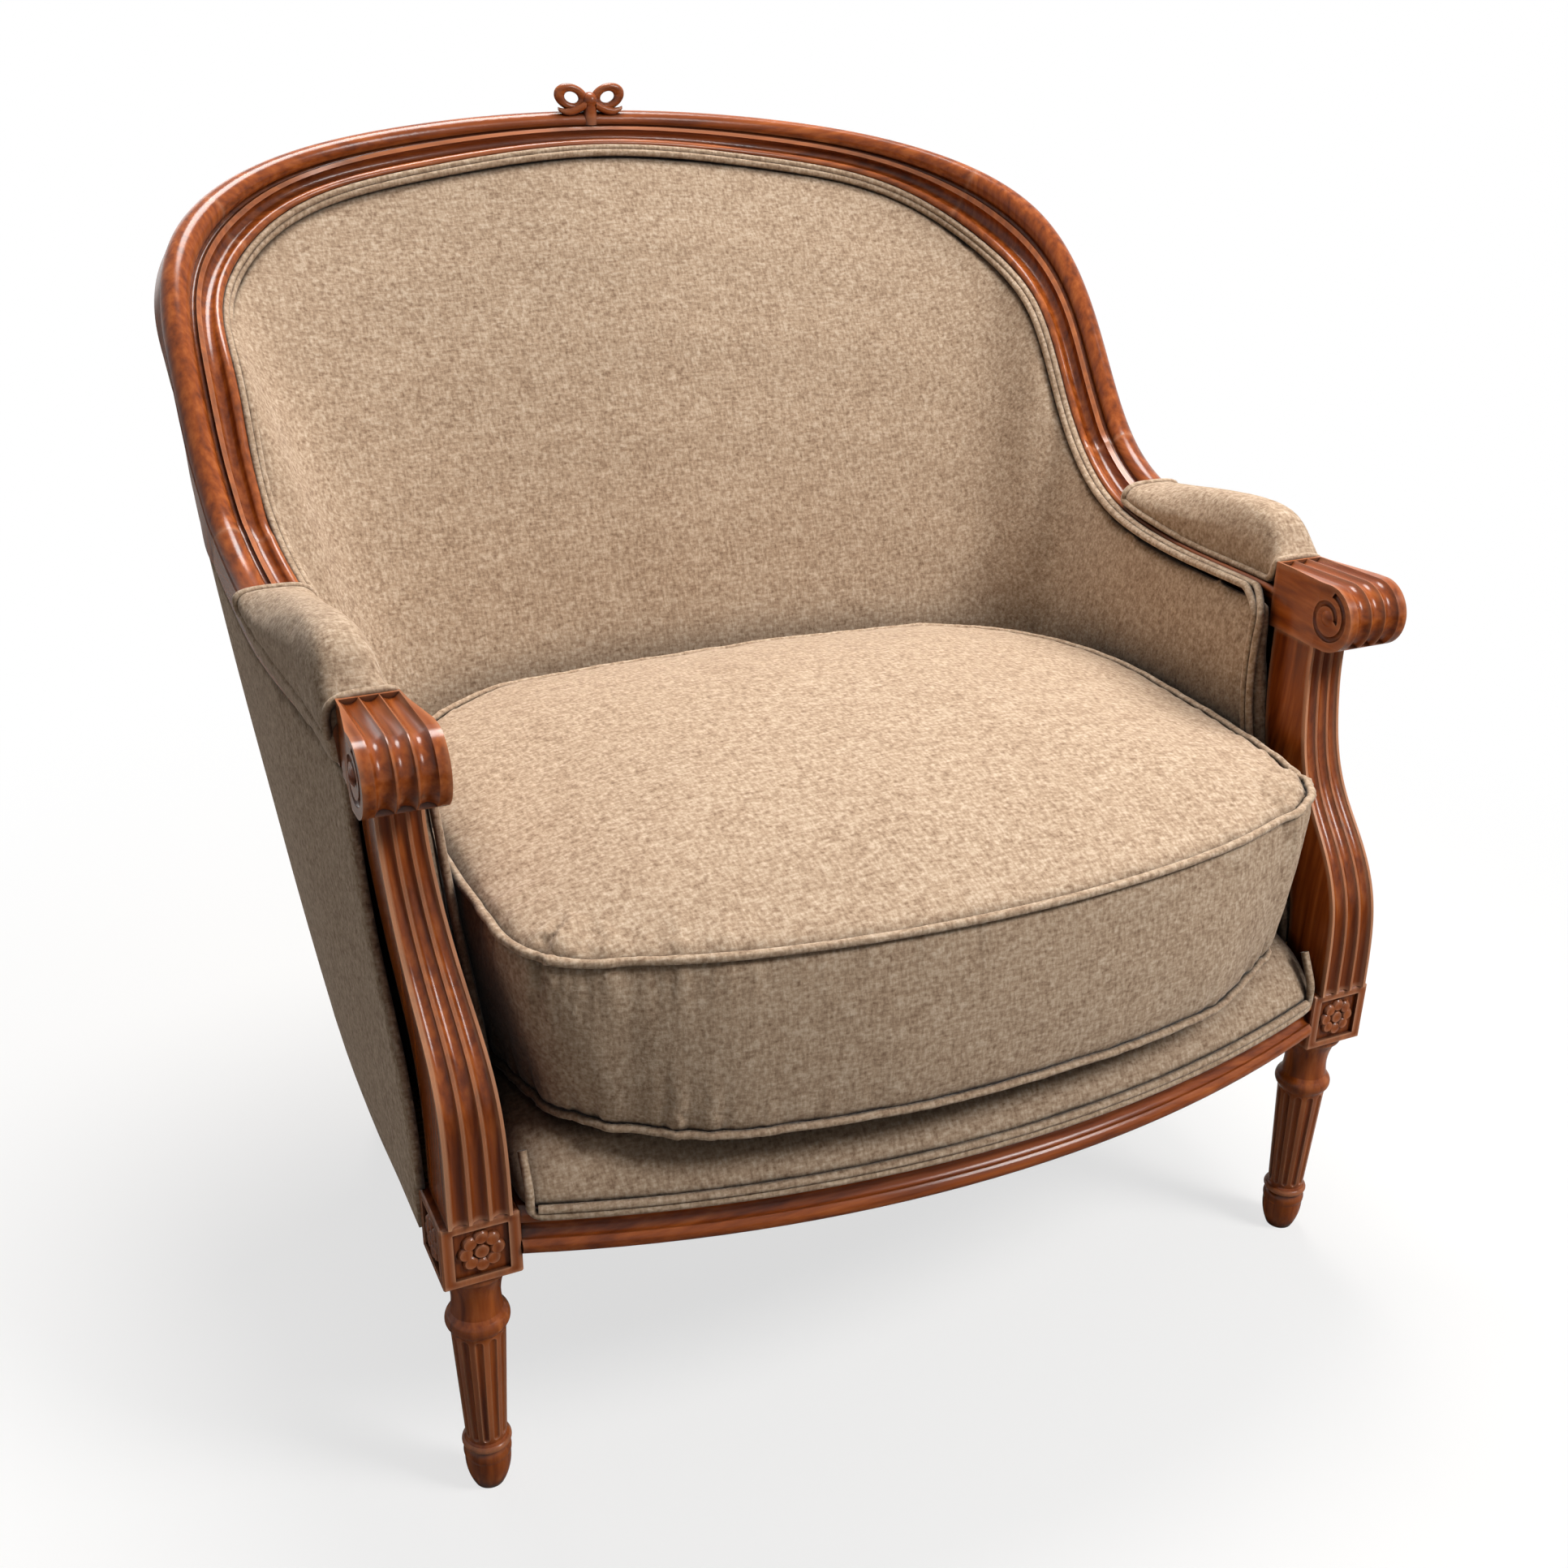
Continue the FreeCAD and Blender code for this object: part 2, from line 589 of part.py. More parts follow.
pin_rail = dowel(V(RAIL_END, -8, RAIL_MID), V(1, 0, 0))
pin_side = dowel(V(SIDE_X - 0.5 * (RAIL_DEPTH + PANEL) - 4, BLOCK_BACK, RAIL_MID), V(0, 1, 0))
pin_foot = dowel(V(LEG_X, -6, SUPPORT_LOW), UP)
pin_arm = dowel(V(ARM_X - 3, 87, SUPPORT_HIGH), UP)
pin_stile = frame_dowel(JUNCTION)
pin_crest = frame_dowel(SHOULDER)
leg = leg.cut(pin_rail).cut(pin_side).cut(pin_foot)
front_rail = front_rail.cut(pin_rail).cut(mirrored(pin_rail))
side_rail = side_rail.cut(pin_side)
arm_support = arm_support.cut(pin_foot).cut(pin_arm)
arm_rail = arm_rail.cut(pin_arm).cut(pin_stile)
stile = stile.cut(pin_stile).cut(pin_crest)
crest_rail = crest_rail.cut(pin_crest).cut(mirrored(pin_crest))
pins = [pin_rail, pin_side, pin_foot, pin_arm, pin_stile, pin_crest]
frame_dowels = Part.makeCompound(pins + [mirrored(p) for p in pins])

# Carved ribbon on the crest.
top = Station(MIDDLE)
tie = top.at(0.82 * top.width, 0) + V(0, 0, 13)
stretch = FreeCAD.Matrix()
stretch.scale(1.5, 1.0, 1.0)
loop = Part.makeTorus(8.5, 3.6, V(0, 0, 0), V(0, 1, 0)).transformGeometry(stretch)
loop.rotate(V(0, 0, 0), V(0, 1, 0), -18)
loop.translate(tie + V(18.5, 0, 3.5))
tail_path = [(5, -3, 4.6), (14, -7.5, 4.2), (24, -9.5, 3.4), (33, -6.5, 1.6)]
tail = loft([Part.Wire([Part.makeCircle(r, tie + V(x, -2, z), V(1, 0, 0))]) for x, z, r in tail_path])
knot = Part.makeSphere(8.2, tie)
seat_stub = Part.makeCylinder(7.0, 22, tie - V(0, 0, 22), UP)
crest_ribbon = knot.multiFuse([seat_stub, loop, mirrored(loop), tail, mirrored(tail)])
crest_ribbon = biggest(crest_ribbon.cut(crest_rail))

# Outside cover: a thin panel over the side and rear rails, up to the underside of the frame.
seat_run = curve_1d(list(zip(STATION, [SEAT_MID * f for f in (
    0.085, 0.18, 0.284, 0.338, 0.376, 0.43, 0.507, 0.627, 0.808, 1.0)])))


def seat_match(s):
    if s > MIDDLE:
        return 2 * SEAT_MID - seat_run(2 * MIDDLE - s)
    return seat_run(s)


def outside_line(s):
    """Outer and inner foot, inner and outer head of the outside panel."""
    st = Station(s)
    p, out = seat_frame(seat_match(s))
    base = p + V(0, 0, RAIL_BOTTOM)
    rim = st.corner - SOFT_GAP
    head_out = st.at(rim, st.under(rim) - SOFT_GAP)
    head_in = st.at(rim - PANEL, st.under(rim - PANEL) - SOFT_GAP)
    return base, base - out * PANEL, head_in, head_out


def ahead(points, y):
    """The same section carried forward to a cross plane of the chair."""
    return [V(p.x, y, p.z) for p in points]


FRONT_Y = -12.0
PANEL_START = 4.0
outside = [ahead(outside_line(0.0), FRONT_Y), ahead(outside_line(0.0), 60.0)]
for s in spread(PANEL_START, 2 * MIDDLE - PANEL_START, 37):
    outside.append(list(outside_line(s)))
for y in (60.0, FRONT_Y):
    outside.append([V(-p.x, y, p.z) for p in outside_line(0.0)])
outside = drawn(outside)
block_room = Part.makeBox(2 * (LEG_X + BLOCK_SIZE), BLOCK_SIZE + 2 * SOFT_GAP, SUPPORT_LOW + SOFT_GAP,
                          V(-LEG_X - BLOCK_SIZE, -BLOCK_SIZE / 2 - SOFT_GAP, 0))
trim = behind_support(SOFT_GAP)
trim = trim.multiFuse([mirrored(trim), block_room])
outside = biggest(outside.cut(trim))
away = post_side * (1 if post_side.x < 0 else -1)
seam = [post_foot - post_out * 900, post_foot + post_out * 600]
back_zone = prism([seam[0], seam[1], seam[1] + away * 900, seam[0] + away * 900], V(0, 0, 1200))
back_zone = back_zone.common(mirrored(back_zone))
outside_back = biggest(outside.common(back_zone))
outside_arm = [s for s in outside.cut(back_zone).Solids if s.CenterOfMass.x > 0][0]
outside_arm = biggest(outside_arm.cut(arm_rail).cut(stile))

# Inside upholstery: one padded surface round arms and back.
inner_x = curve_1d(list(zip(STATION, [1.0, 1.0, 0.998, 0.986, 0.960, 0.910, 0.825, 0.65, 0.36, 0.0])))
inner_y = curve_1d(list(zip(STATION, [0.212, 0.393, 0.584, 0.68, 0.755, 0.825, 0.890, 0.953, 0.992, 1.0])))
corner_share = curve_1d(list(zip(STATION, [0.0, 0.0, 0.0, 0.2, 0.6, 1.0, 1.0, 0.7, 0.1, 0.0])))
pad_grow = curve_1d(list(zip(STATION, [0.0, 0.0, 0.04, 0.12, 0.22, 0.42, 0.66, 0.88, 0.98, 1.0])))


def pad_foot(s):
    a = min(s, 2 * MIDDLE - s)
    x = inner_x(a) * INNER_X
    return V(x if s <= MIDDLE else -x, inner_y(a) * INNER_BACK_Y, PAD_FOOT_Z)


def pad_out(s):
    t = pad_foot(min(s + 2, 2 * MIDDLE)) - pad_foot(max(s - 2, 0))
    return unit(V(t.y, -t.x, 0))


def pad_points(s):
    st = Station(s)
    grow = pad_grow(min(s, 2 * MIDDLE - s))
    thick = ARM_THICK + (PAD_THICK - ARM_THICK) * grow - CORNER_EASE * corner_share(min(s, 2 * MIDDLE - s))
    bulge = ARM_BULGE + (BACK_BULGE - ARM_BULGE) * grow
    front = pad_foot(s)
    lip = st.at(-SOFT_GAP - WELT, -4)
    chord = front - lip
    side = pad_out(s)
    swell = unit(side - chord * (side.dot(chord) / chord.dot(chord)))
    return {
        "back_top": st.at(-SOFT_GAP, -WELT - PAD_TUCK),
        "notch_in": st.at(-SOFT_GAP, -WELT - 3),
        "notch_out": st.at(-SOFT_GAP - WELT, -WELT - 3),
        "lip": lip,
        "swell": (front + lip) * 0.5 - swell * bulge,
        "front": front,
        "back": front + side * thick,
    }


def pad_ring(p):
    """Corner points of the pad section, with its swollen face in short steps."""
    pull = p["swell"] * 2 - (p["lip"] + p["front"]) * 0.5
    ring = [p["back_top"], p["notch_in"], p["notch_out"]]
    for i in range(PAD_STEPS + 1):
        t = i / PAD_STEPS
        ring.append(p["lip"] * (1 - t) ** 2 + pull * (2 * t * (1 - t)) + p["front"] * t ** 2)
    return ring + [p["back"]]


def pad_ahead(y, sign):
    return [V(sign * p.x, y, p.z) for p in pad_ring(pad_points(0.0))]


PAD_STEPS = 7
inside = [pad_ahead(FRONT_Y, 1), pad_ahead(60.0, 1)]
for s in spread(PANEL_START, 2 * MIDDLE - PANEL_START, 37):
    inside.append(pad_ring(pad_points(s)))
inside = inside + [pad_ahead(60.0, -1), pad_ahead(FRONT_Y, -1)]
inside = drawn(inside)
inside = biggest(inside.cut(trim))
corner = pad_points(STATION[4])
cheek = V(corner["back_top"].x - corner["front"].x, corner["back_top"].y - corner["front"].y, 0)
cheek = unit(cheek)
turn = V(-cheek.y, cheek.x, 0)
turn = turn * (1 if turn.x < 0 else -1)
near = corner["front"] - cheek * 900
far = corner["front"] + cheek * 600
back_part = prism([V(p.x, p.y, 0) for p in (near, far, far + turn * 1200, near + turn * 1200)], V(0, 0, 1200))
back_part = back_part.common(mirrored(back_part))
inside_back = biggest(inside.common(back_part).cut(rear_leg).cut(mirrored(rear_leg)))
inside_arm = [s for s in inside.cut(back_part).Solids if s.CenterOfMass.x > 0][0]
inside_arm = biggest(inside_arm.cut(arm_rail))

# Welt between the fabric and the wood of the back and arms.


def welt_ring(st):
    a = WELT - SOFT_GAP - WELT_CLEAR
    low = -WELT - 3 + SOFT_GAP
    shape = [(0, low), (0, -2.5), (0.22 * a, -0.6), (0.5 * a, 0.2), (0.78 * a, -0.8), (a, -3), (a, low)]
    return [st.at(-SOFT_GAP - WELT_CLEAR - u, v) for u, v in shape]


WELT_START = PANEL_START + 4.0
inside_welt = drawn([welt_ring(Station(s)) for s in spread(WELT_START, 2 * MIDDLE - WELT_START, 37)])

# Back slat and webbing behind the inside back.


def pad_rear(s, z, offset):
    """Point behind the back face of the inside pad, at a height."""
    p = pad_points(s)
    t = (z - p["back"].z) / (p["back_top"].z - p["back"].z)
    q = p["back"] + (p["back_top"] - p["back"]) * t
    return q + pad_out(s) * offset


SLAT_LOW = PAD_FOOT_Z + 4
SLAT_HIGH = SLAT_LOW + 38
SLAT_THICK = 15.0
slat = []
for s in spread(POST_STATION, 2 * MIDDLE - POST_STATION, 11):
    near_gap = WEB_THICK + 2 * SOFT_GAP
    slat.append([pad_rear(s, SLAT_LOW, near_gap), pad_rear(s, SLAT_LOW, near_gap + SLAT_THICK),
                 pad_rear(s, SLAT_HIGH, near_gap + SLAT_THICK), pad_rear(s, SLAT_HIGH, near_gap)])
back_slat = biggest(drawn(slat).cut(rear_leg).cut(mirrored(rear_leg)))
straps = []
for shift in (-150.0, 0.0, 150.0):
    band = []
    for s in spread(MIDDLE + shift - WEB_WIDTH / 2, MIDDLE + shift + WEB_WIDTH / 2, 3):
        head = pad_points(s)["back_top"].z - 26
        band.append([pad_rear(s, SLAT_LOW, SOFT_GAP), pad_rear(s, SLAT_LOW, SOFT_GAP + WEB_THICK),
                     pad_rear(s, head, SOFT_GAP + WEB_THICK), pad_rear(s, head, SOFT_GAP)])
    straps.append(biggest(drawn(band).cut(back_slat)))
back_webbing = Part.makeCompound(straps)

# Arm pads with their welt.
pad_rise = curve_1d([(0.0, 0.66), (0.10, 0.93), (0.28, 1.0), (0.52, 0.80), (0.78, 0.42), (1.0, 0.14)])
pad_reach = curve_1d([(0.0, 0.99), (0.3, 0.95), (0.55, 0.84), (0.8, 0.70), (1.0, 0.58)])
PAD_FIRST = 3.0
PAD_LAST = STATION[3] - 8.0
PAD_LIFT = 2.2
WELT_SIDE = 6.0


def arm_pad_wire(t):
    st = Station(PAD_FIRST + (PAD_LAST - PAD_FIRST) * t)
    a = WELT_SIDE + 0.8
    b = pad_reach(t) * st.width - WELT_SIDE
    h = pad_rise(t) * ARM_PAD_CROWN
    m = 0.5 * (a + b)
    steps = [[(a - 3, PAD_LIFT + 0.42 * h), (a + 0.16 * (b - a), PAD_LIFT + 0.8 * h)],
             [(m, PAD_LIFT + h), (b - 0.16 * (b - a), PAD_LIFT + 0.8 * h)],
             [(b + 3, PAD_LIFT + 0.42 * h), (b, PAD_LIFT)],
             [(a, PAD_LIFT)]]
    return wire_of((a, PAD_LIFT), steps, st.at)


def arm_welt_wire(t, outer):
    st = Station(PAD_FIRST + (PAD_LAST - PAD_FIRST) * t)
    a = 0.8
    b = WELT_SIDE
    if outer:
        a = pad_reach(t) * st.width - WELT_SIDE + SOFT_GAP
        b = a + WELT_SIDE - 0.8
    steps = [[(0.5 * (a + b), PAD_LIFT + 5), (b, PAD_LIFT)], [(a, PAD_LIFT)]]
    return wire_of((a, PAD_LIFT), steps, st.at)


arm_pad = loft([arm_pad_wire(t) for t in (0.0, 0.05, 0.14, 0.28, 0.45, 0.62, 0.8, 0.92, 1.0)])
arm_welts = [loft([arm_welt_wire(t, side) for t in spread(0.0, 1.0, 8)]) for side in (False, True)]
arm_welts = [w.cut(arm_pad) for w in arm_welts]
arm_pad_welt = Part.makeCompound(arm_welts)

# Seat platform and loose cushion: one plan outline, drawn larger or smaller.


def outline(half, apex, bow, corner_radius, back, grow, scale, z):
    h = half + grow
    r = corner_radius
    y_front = -apex + bow - grow
    y_side = y_front + r
    side_end = 0.55 * back
    mid = V(0, 0.5 * (back - apex), 0)

    def at(x, y):
        return V(x * scale, mid.y + (y - mid.y) * scale, z)

    k = math.sqrt(0.5)
    rear_x = 0.62 * h
    rear_y = back - 13 + grow
    a = h - rear_x
    b = rear_y - side_end
    radius = (a * a + b * b) / (2 * a)
    sweep = math.atan2(b, radius - a) / 2
    bend = (h - radius + radius * math.cos(sweep), side_end + radius * math.sin(sweep))
    right = [Part.Arc(at(h - r, y_front), at(h - r + k * r, y_side - k * r), at(h, y_side)).toShape(),
             Part.makeLine(at(h, y_side), at(h, side_end)),
             Part.Arc(at(h, side_end), at(*bend), at(rear_x, rear_y)).toShape()]
    rear = Part.Arc(at(rear_x, rear_y), at(0, back + grow), at(-rear_x, rear_y)).toShape()
    left = [Part.Arc(at(-rear_x, rear_y), at(-bend[0], bend[1]), at(-h, side_end)).toShape(),
            Part.makeLine(at(-h, side_end), at(-h, y_side)),
            Part.Arc(at(-h, y_side), at(-h + r - k * r, y_side - k * r), at(-h + r, y_front)).toShape()]
    front = Part.Arc(at(-h + r, y_front), at(0, -apex - grow), at(h - r, y_front)).toShape()
    return Part.Wire(right + [rear] + left + [front])


HESSIAN = 1.0
PLATFORM_LOW = RAIL_TOP + 2 * WEB_THICK + HESSIAN
PLATFORM_HALF = INNER_X - PLATFORM_GAP - BORDER_BULGE
PLATFORM_APEX = RAIL_SETBACK + RAIL_BOW - 10
PLATFORM_BACK = INNER_BACK_Y - PLATFORM_GAP - BORDER_BULGE - 2


def platform_outline(grow, z, scale=1.0):
    return outline(PLATFORM_HALF, PLATFORM_APEX, RAIL_BOW - 3, 12.0, PLATFORM_BACK, grow, scale, z)


PLATFORM_RISE = PLATFORM_TOP - PLATFORM_LOW
platform_side = loft([platform_outline(-1, PLATFORM_LOW),
                      platform_outline(BORDER_BULGE, PLATFORM_LOW + 0.5 * PLATFORM_RISE),
                      platform_outline(0, PLATFORM_TOP - 10)])
platform_crown = loft([platform_outline(0, PLATFORM_TOP - 10), platform_outline(-3.5, PLATFORM_TOP - 3),
                       platform_outline(-11, PLATFORM_TOP)])
seat_platform = platform_side.fuse(platform_crown).removeSplitter()
hem = loft([platform_outline(-1, PLATFORM_LOW), platform_outline(4.2, PLATFORM_LOW + 4.0),
            platform_outline(0.6, PLATFORM_LOW + 8.0)])
hem_zone = Part.makeBox(2 * (PLATFORM_HALF - 6), 200, 60, V(-(PLATFORM_HALF - 6), -200, PLATFORM_LOW - 20))
platform_welt = biggest(hem.cut(seat_platform).common(hem_zone))
seat_hessian = Part.Face(platform_outline(-8, PLATFORM_LOW - HESSIAN)).extrude(V(0, 0, HESSIAN))


def seat_reach(x):
    samples = [SEAT.value(s) for s in spread(SEAT_MID * 0.5, SEAT_MID, 200)]
    return min(samples, key=lambda p: abs(p.x - abs(x))).y


def seat_half(y):
    samples = [SEAT.value(s) for s in spread(0.0, SEAT_MID, 300)]
    return min(samples, key=lambda p: abs(p.y - y)).x


webs = []
for i in range(LONG_WEBS):
    x = (i - (LONG_WEBS - 1) / 2) * LONG_PITCH
    y0 = BOW_CENTRE - math.sqrt(BOW_RADIUS ** 2 - (abs(x) + WEB_WIDTH / 2) ** 2) + 16
    y1 = seat_reach(abs(x) + WEB_WIDTH / 2) - WEB_SETBACK
    webs.append(Part.makeBox(WEB_WIDTH, y1 - y0, WEB_THICK, V(x - WEB_WIDTH / 2, y0, RAIL_TOP)))
for i in range(CROSS_WEBS):
    y = CROSS_START + i * CROSS_PITCH
    x = seat_half(y + WEB_WIDTH / 2) - WEB_SETBACK
    webs.append(Part.makeBox(2 * x, WEB_WIDTH, WEB_THICK, V(-x, y - WEB_WIDTH / 2, RAIL_TOP + WEB_THICK)))
seat_webbing = Part.makeCompound(webs)

dust = Part.Wire([
    Part.Arc(V(-RAIL_END, -RAIL_SETBACK + 16, 0), V(0, -RAIL_SETBACK - RAIL_BOW + 16, 0),
             V(RAIL_END, -RAIL_SETBACK + 16, 0)).toShape(),
    Part.makeLine(V(RAIL_END, -RAIL_SETBACK + 16, 0), V(SIDE_X - 18, BLOCK_BACK + 4, 0)),
    Part.makeLine(V(SIDE_X - 18, BLOCK_BACK + 4, 0), V(SIDE_X - 20, 0.55 * REAR, 0)),
    Part.Arc(V(SIDE_X - 20, 0.55 * REAR, 0), V(0.86 * (SIDE_X - 20), 0.83 * REAR, 0),
             V(0.58 * SIDE_X, REAR - 36, 0)).toShape(),
    Part.Arc(V(0.58 * SIDE_X, REAR - 36, 0), V(0, REAR - 16, 0), V(-0.58 * SIDE_X, REAR - 36, 0)).toShape(),
    Part.Arc(V(-0.58 * SIDE_X, REAR - 36, 0), V(-0.86 * (SIDE_X - 20), 0.83 * REAR, 0),
             V(-SIDE_X + 20, 0.55 * REAR, 0)).toShape(),
    Part.makeLine(V(-SIDE_X + 20, 0.55 * REAR, 0), V(-SIDE_X + 18, BLOCK_BACK + 4, 0)),
    Part.makeLine(V(-SIDE_X + 18, BLOCK_BACK + 4, 0), V(-RAIL_END, -RAIL_SETBACK + 16, 0)),
])
dust_cover = Part.Face(dust).extrude(V(0, 0, DUST_THICK))
dust_cover.translate(V(0, 0, RAIL_BOTTOM - DUST_THICK))
leg_room = Part.makeBox(BLOCK_SIZE + 2, BLOCK_SIZE + 2, 90, V(RAIL_END - 1, -BLOCK_SIZE / 2 - 1, BLOCK_BOTTOM - 20))
post_room = Part.Face(post_section(knee_low, POST_SIZE + 2, POST_SIZE + 2)).extrude(V(0, 0, 60))
for tool in (leg_room, post_room):
    dust_cover = dust_cover.cut(tool).cut(mirrored(tool))
dust_cover = biggest(dust_cover)

CUSHION_LOW = PLATFORM_TOP + SEAT_GAP
WELT_LOW = CUSHION_LOW + 8
WELT_HIGH = WELT_LOW + BOXING


def cushion_outline(grow, z, scale=1.0):
    return outline(CUSHION_HALF, CUSHION_FRONT, CUSHION_BOW, CUSHION_CORNER, CUSHION_BACK_Y, grow, scale, z)


def cushion_solid(skin):
    """Box cushion with drawn-in welts, swollen sides and a crown, smaller by a skin."""
    foot_part = loft([cushion_outline(-12 - skin, CUSHION_LOW + skin), cushion_outline(-3 - skin, WELT_LOW - 3),
                      cushion_outline(-skin, WELT_LOW)])
    side_part = loft([cushion_outline(-skin, WELT_LOW),
                      cushion_outline(BOXING_BULGE - skin, WELT_LOW + 0.5 * BOXING),
                      cushion_outline(-skin, WELT_HIGH)])
    rings = []
    for k in (1.0, 0.93, 0.8, 0.6, 0.38, 0.2):
        lift = (CUSHION_CROWN - skin) * (1 - k ** 2.6)
        rings.append(cushion_outline(-skin, WELT_HIGH + lift, k))
    return foot_part.multiFuse([side_part, loft(rings)]).removeSplitter()


cushion_outer = cushion_solid(0.0)
cushion_cover = cushion_outer.cut(cushion_solid(COVER_THICK))
cushion_core = cushion_solid(COVER_THICK + SOFT_GAP)


def cushion_welt(z):
    disc = loft([cushion_outline(-4, z - WELT_RADIUS), cushion_outline(WELT_RADIUS, z),
                 cushion_outline(-4, z + WELT_RADIUS)])
    return biggest(disc.cut(cushion_outer))


cushion_welts = Part.makeCompound([cushion_welt(WELT_LOW), cushion_welt(WELT_HIGH)])

nodes = {
    "crest_rail": crest_rail,
    "crest_ribbon": crest_ribbon,
    "back_stile_right": stile,
    "arm_rail_right": arm_rail,
    "arm_support_right": arm_support,
    "front_leg_right": leg,
    "rear_leg_right": rear_leg,
    "front_rail": front_rail,
    "side_rail_right": side_rail,
    "rear_rail": rear_rail,
    "corner_block_right": corner_block,
    "frame_dowels": frame_dowels,
    "back_slat": back_slat,
    "back_webbing": back_webbing,
    "seat_webbing": seat_webbing,
    "seat_hessian": seat_hessian,
    "seat_platform": seat_platform,
    "platform_welt": platform_welt,
    "inside_back": inside_back,
    "inside_arm_right": inside_arm,
    "inside_welt": inside_welt,
    "outside_back": outside_back,
    "outside_arm_right": outside_arm,
    "arm_pad_right": arm_pad,
    "arm_pad_welt_right": arm_pad_welt,
    "dust_cover": dust_cover,
    "cushion_core": cushion_core,
    "cushion_cover": cushion_cover,
    "cushion_welts": cushion_welts,
}
for name in list(nodes):
    if name.endswith("_right"):
        nodes[name.replace("_right", "_left")] = mirrored(nodes[name])

# The part's origin is on the floor, under the middle of its overall box.
whole = Part.makeCompound(list(nodes.values())).optimalBoundingBox()
ORIGIN_Y = 0.5 * (whole.YMin + whole.YMax)
print("origin from the front leg line", round(ORIGIN_Y, 3), "mm")
for name, shape in nodes.items():
    box = shape.optimalBoundingBox()
    print(name, shape.isValid(), len(shape.Solids), round(shape.Volume), [round(v, 1) for v in (
        box.XMin, box.XMax, box.YMin, box.YMax, box.ZMin, box.ZMax)])
    shape.translate(V(0, -ORIGIN_Y, 0))
    shape.exportStep("parts/" + name + ".step")
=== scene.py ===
import math

import bmesh
import bpy
from bpy.props import FloatProperty, FloatVectorProperty, PointerProperty
from mathutils import Matrix, Quaternion, Vector, kdtree, noise


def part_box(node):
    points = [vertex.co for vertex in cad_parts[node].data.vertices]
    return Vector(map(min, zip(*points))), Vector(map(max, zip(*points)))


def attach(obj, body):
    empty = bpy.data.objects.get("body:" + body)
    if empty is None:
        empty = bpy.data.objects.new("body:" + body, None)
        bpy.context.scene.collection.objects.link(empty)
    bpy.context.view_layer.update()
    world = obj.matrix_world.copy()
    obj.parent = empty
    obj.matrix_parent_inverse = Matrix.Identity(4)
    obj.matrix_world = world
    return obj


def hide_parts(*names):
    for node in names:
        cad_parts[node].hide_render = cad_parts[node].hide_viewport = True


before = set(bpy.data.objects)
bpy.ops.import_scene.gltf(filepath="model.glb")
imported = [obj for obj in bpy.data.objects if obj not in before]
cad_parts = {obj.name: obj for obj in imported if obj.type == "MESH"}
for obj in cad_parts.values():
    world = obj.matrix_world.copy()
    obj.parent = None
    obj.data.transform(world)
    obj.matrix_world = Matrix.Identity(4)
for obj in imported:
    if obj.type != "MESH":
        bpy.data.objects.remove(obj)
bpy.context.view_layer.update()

bl_info = {
    "name": "Bergere chair",
    "version": (1, 0, 0),
    "blender": (4, 5, 0),
    "location": "View3D > Sidebar > Bergere",
    "description": "Upholstery, polish and stage for a bergere chair on its joined frame",
    "category": "Object",
}

CHAIR = "chair_frame"
CUSHION = "seat_cushion"
SIDES = ("right", "left")
INSIDE = ("inside_back", "inside_arm_right", "inside_arm_left")
OUTSIDE = ("outside_back", "outside_arm_right", "outside_arm_left")

# Sizes are in metres and angles in radians, unless a comment says otherwise.

# Grid of the remeshed covers, and the fold at which an edge counts as a crease: on a pad and on the welt.
COVER_GRID = 0.006
CREASE = 0.6
WELT_CREASE = 0.55

# Cloth: air pressure in a padded case and the number of simulated steps.
PRESSURE = 4.0
CLOTH_STEPS = 20

# Unevenness of the filling under each cover: heights, each with its number of waves in a metre.
INSIDE_WAVES = ((0.0009, 12), (0.0003, 45))
PLATFORM_WAVES = ((0.0012, 16),)
CUSHION_WAVES = ((0.0016, 9), (0.0006, 30))

# Inside welt: least length of the solid's edges along the rim, points along a rim cord and along an upright.
RIM_LONG = 1.0
RIM_POINTS = 241
UPRIGHT_POINTS = 24
# The inside arm's upright front edge: it is longer and taller than this and lies before this y.
EDGE_LONG = 0.2
EDGE_TALL = 0.15
EDGE_BEFORE = -0.12
# The two inside cords: share of the way from the wood to the cloth, shift inwards and back where they turn
# down beside the arm supports, and the room left for that turn.
INSIDE_CORDS = ((0.10, -0.0016, 0.0024, 0.004), (0.90, -0.0028, 0.0084, 0.010))

# Outside covers: longest edge of the skin, lift of the wadding and how far from the rim it takes to rise.
OUTSIDE_GRID = 0.022
WADDING = 0.003
WADDING_RISE = 0.05
# Fold of an outside cover's rim, and the y of the seat's middle, which the wadded faces look away from.
RIM_FOLD = 0.9
SEAT_MIDDLE = 0.02

# Arm pads: length, overhang and depth of the skirt on the outer side, and length of the roll at the front.
PAD_LENGTH = 0.236
PAD_OVER = 0.006
PAD_SKIRT = 0.032
PAD_ROLL = 0.036
# The crown's height over the pad's foot, as shares of the solid's: at the front ledge and behind the roll.
PAD_LEDGE = 0.1
PAD_FULL = 0.9
# Powers of the crown's section: a broad, nearly level top that turns down in a round on each side.
PAD_LEVEL = 3.2
PAD_ROUND = 0.32
# Steps along and across a pad and down its skirt.
PAD_STEPS = 24
SKIRT_STEPS = 4
# Room before the first cut of the solid pad, and how far inside its outer edge the rail is looked for.
FIRST_CUT = 0.0006
RAIL_INSIDE = 0.004
# Grid of the pads' skin, its distance from the filling and the most that it swells.
PAD_GRID = 0.0035
PAD_SKIN = 0.0014
PAD_SWELL = 0.005

# Platform: how far its hem stands before the solid hem and laps down over the rail, and where the lap fades.
AHEAD = 0.005
LAP = 0.014
LAP_BACK = 0.05
